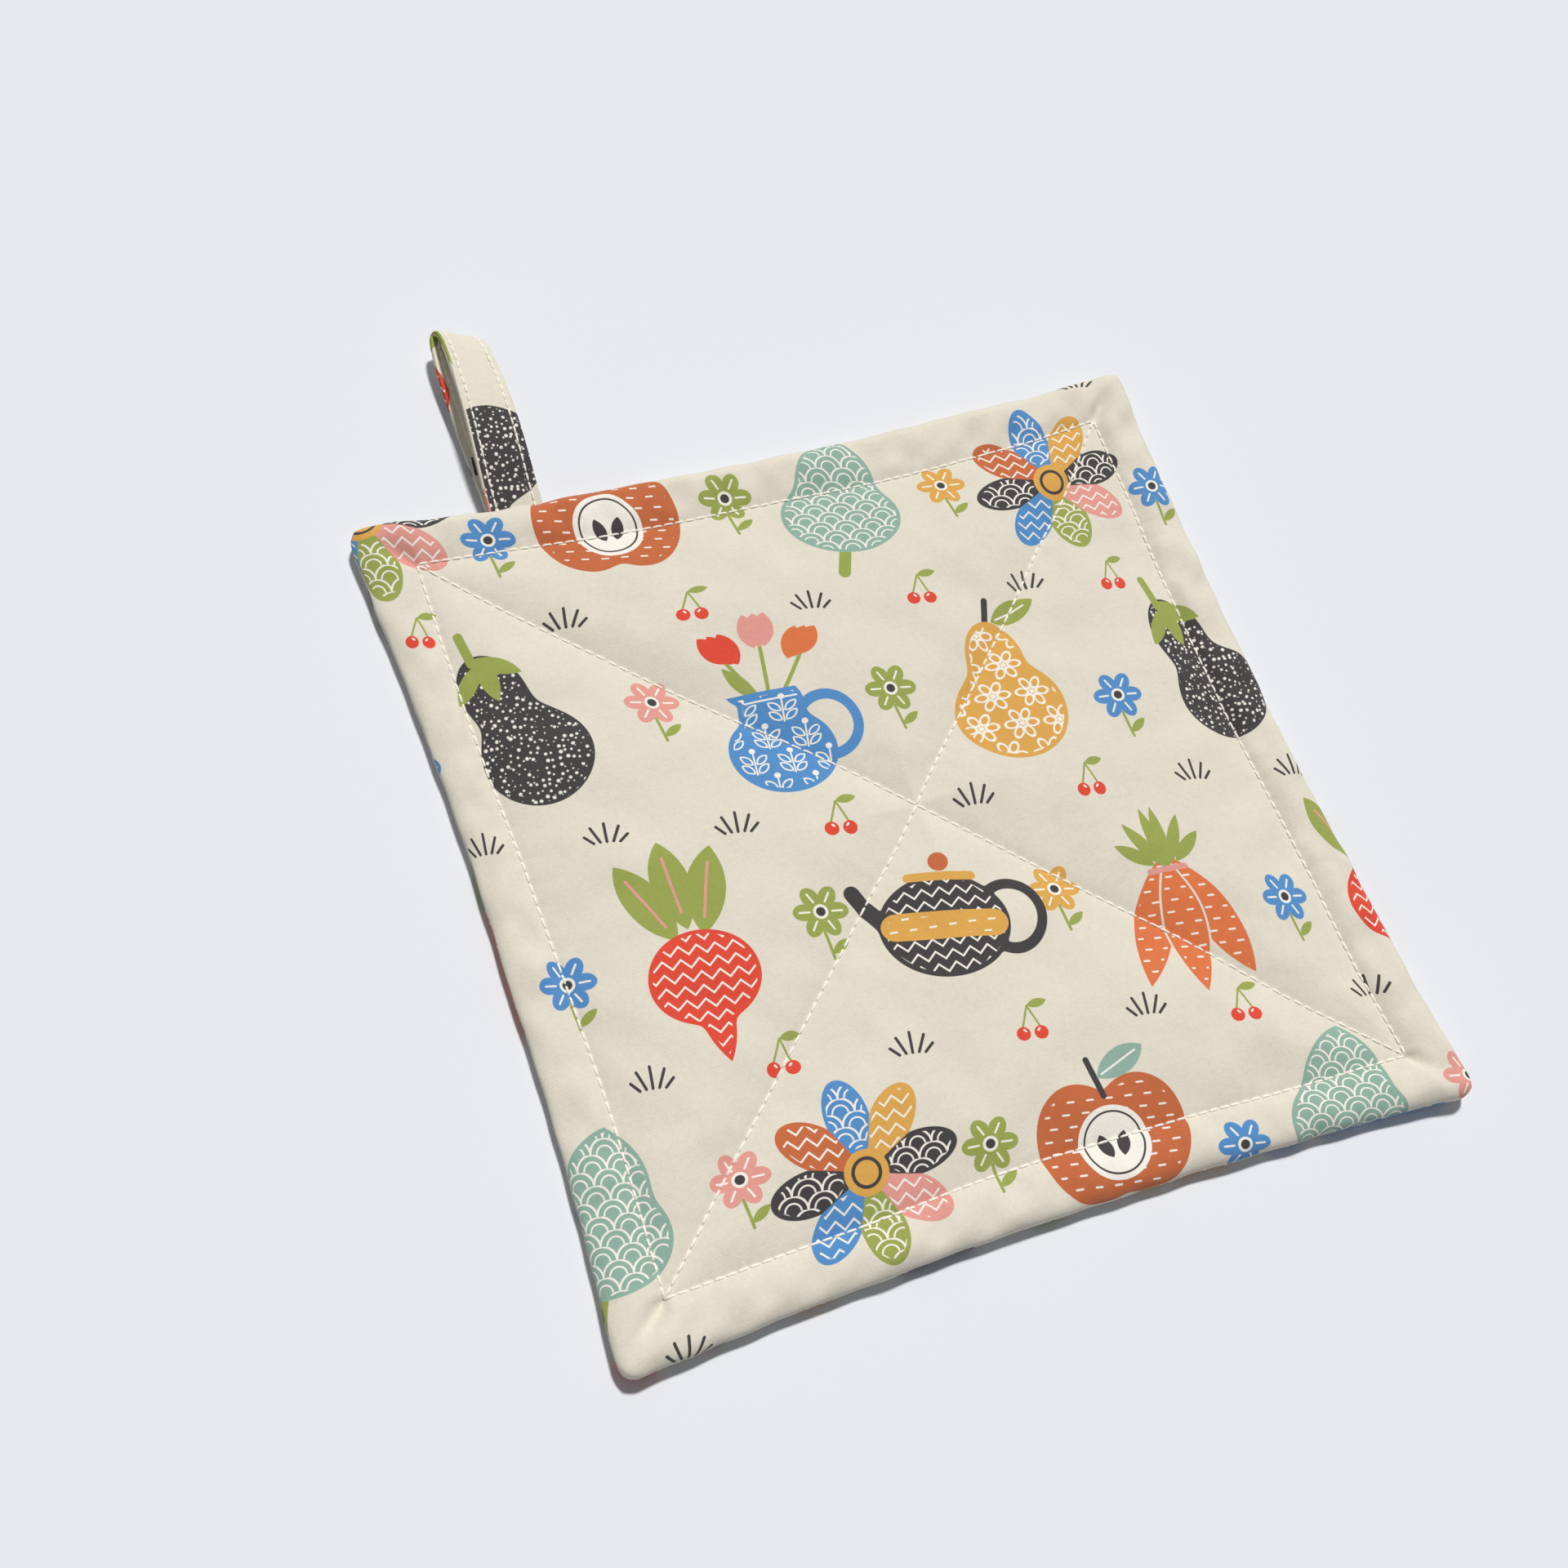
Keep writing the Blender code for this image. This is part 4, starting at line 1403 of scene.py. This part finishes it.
def loop_frame(turn):
    """Centre, width direction and outward direction of the strap's section.

    turn is -1 at the lower leg's end, 0 at the fold and 1 at the upper leg's end. The
    reach follows its cosine, and the distance between the legs an arch of that reach.
    """
    share = np.cos(0.5 * np.pi * turn)
    leg = np.sign(turn) * np.sin(np.pi * share**LOOP_BOW_POWER)
    fold = np.sin(np.pi * turn) * share**FOLD_BOW_FADE
    offset = LOOP_BOW * leg + FOLD_BOW * fold + ROOT_HALF_GAP * np.sin(0.5 * np.pi * turn)
    lean = np.radians(LOOP_ROLL) * share**LOOP_ROLL_POWER
    across = np.stack([np.cos(lean), 0.0 * lean, -np.sin(lean)], axis=-1)
    away = np.stack([np.sin(lean), 0.0 * lean, np.cos(lean)], axis=-1)
    half_width, half_thickness = 0.5 * STRAP_WIDTH, 0.5 * STRAP_THICKNESS
    resting = np.abs(offset) * np.cos(lean) + half_width * np.sin(lean)
    resting = resting + half_thickness + FLOOR_CLEARANCE
    root = SEAM_HEIGHT - ROOT_HALF_GAP - half_thickness - FLOOR_CLEARANCE
    height = resting + root * (1.0 - smooth(share / SAG_REACH))
    root_y = mat_edge(LOOP_CENTRE_X - half_width) + ROOT_CLEARANCE
    tip_y = TIP_HALF - SIDE_DRAW_IN + LOOP_REACH
    y = root_y + (tip_y - half_thickness - root_y) * share
    y = y - ROOT_TUCK * smooth(1 - share / TUCK_SHARE)
    centre = np.stack([LOOP_CENTRE_X + 0.0 * turn, y + CENTRE_SHIFT_Y, height], axis=-1)
    centre = centre + offset[:, None] * away
    outward = np.cross(np.gradient(centre, turn, axis=0), across)
    return centre, across, outward / np.linalg.norm(outward, axis=1, keepdims=True)


turns = np.linspace(-1.0, 1.0, STRAP_STATIONS)
loop_centre, loop_across, loop_outward = loop_frame(turns)
loop_along = lengths_along(loop_centre)
print(f"strap {loop_along[-1]:.0f} mm long, {loop_centre[:, 1].max():.1f} mm at its fold")

# %% The strap's surface
TOPSTITCH_IN = 2.2  # mm from the strap's edges
STRAP_PITCH, STRAP_THREAD_RADIUS = 2.7, 0.9 * THREAD_RADIUS
STITCH_SINK, STITCH_SHARE = 0.6, 0.8  # how deep in the groove they lie, and how high they arch
GROOVE, GROOVE_REACH = 0.2, 0.9
GROOVE_SWAY = 0.45  # share of the groove that comes and goes with the stitches
SLIT, SLIT_REACH = 0.45, 0.28
SOFT, SOFT_LENGTH, SOFT_ACROSS = 0.07, 12.0, 2.0  # unevenness of its faces, finer across it
FACE_FROM = 0.45  # mm from the middle layer, where the rounded edges end
FACE_POINTS, EDGE_POINTS = 31, 9


def strap_section():
    """Points round the flat section: millimetres across the strap and out of it.

    The two faces run straight, the folded edge is a half circle, and at the slit edge two
    smaller half circles meet.
    """
    half, thick = 0.5 * STRAP_WIDTH, 0.5 * STRAP_THICKNESS
    flat = half - thick
    face = np.linspace(-flat, flat, FACE_POINTS)
    bend = np.linspace(np.pi / 2, -np.pi / 2, EDGE_POINTS + 2)[1:-1]
    folded = np.stack([flat + thick * np.cos(bend), thick * np.sin(bend)], -1)
    slit_x = -flat - thick * np.abs(np.cos(bend)) + SLIT * bell(np.sin(bend), SLIT_REACH)
    slit = np.stack([slit_x, -thick * np.sin(bend)], -1)
    return np.concatenate([
        np.stack([face, np.full(FACE_POINTS, thick)], -1),
        folded,
        np.stack([face[::-1], np.full(FACE_POINTS, -thick)], -1),
        slit,
    ])


section = strap_section()
to_stitches = np.abs(np.abs(section[:, 0]) - (0.5 * STRAP_WIDTH - TOPSTITCH_IN))
sway = GROOVE_SWAY * (np.cos(2 * np.pi * loop_along / STRAP_PITCH) - 1.0)
groove = GROOVE * (1.0 + sway[:, None]) * bell(to_stitches, GROOVE_REACH)
soft = SOFT * waves(loop_along[:, None], SOFT_ACROSS * section[:, 0], SOFT_LENGTH, 61)
on_face = np.sign(section[:, 1]) * (np.abs(section[:, 1]) > FACE_FROM)
out_by = section[:, 1] + on_face * (soft - groove)
strap_points = (
    loop_centre[:, None]
    + section[:, :1] * loop_across[:, None]
    + out_by[:, :, None] * loop_outward[:, None]
)
girth = lengths_along(np.concatenate([section, section[:1]]))
# From the upper leg to the lower one, so that its faces look outward
strap = add_tubes(
    "hanging_strap", strap_points[None, ::-1], loop_along[None, ::-1], girth, strap_cotton
)
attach(strap, "root")
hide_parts("hanging_loop")

# %% The strap's stitches


def strap_stitches():
    """Paths of the stitches along both edges, on the outer and the inner face."""
    number = int(loop_along[-1] / STRAP_PITCH)
    run, above = arch(STRAP_PITCH)
    at = (np.arange(number)[:, None] + 0.5) * STRAP_PITCH + run[None, :]
    centre, across, outward = (
        np.stack([np.interp(at, loop_along, track[:, axis]) for axis in range(3)], -1)
        for track in (loop_centre, loop_across, loop_outward)
    )
    paths, directions = [], []
    for edge in (-1, 1):
        for face in (-1, 1):
            off = edge * (0.5 * STRAP_WIDTH - TOPSTITCH_IN)
            lift = face * (0.5 * STRAP_THICKNESS - STITCH_SINK * GROOVE + STITCH_SHARE * above)
            paths.append(centre + off * across + lift[None, :, None] * outward)
            directions.append(face * outward)
    return np.concatenate(paths), np.concatenate(directions)


strap_paths, strap_out = strap_stitches()
strap_stitching = add_thread("strap_stitching", strap_paths, strap_out, STRAP_THREAD_RADIUS)

# %% The size of the whole
made_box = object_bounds()
sizes = {
    "cad_low": list(cad_box[0]),
    "cad_high": list(cad_box[1]),
    "visual_low": list(made_box[0]),
    "visual_high": list(made_box[1]),
}
print({name: [round(s / MM, 2) for s in corner] for name, corner in sizes.items()})
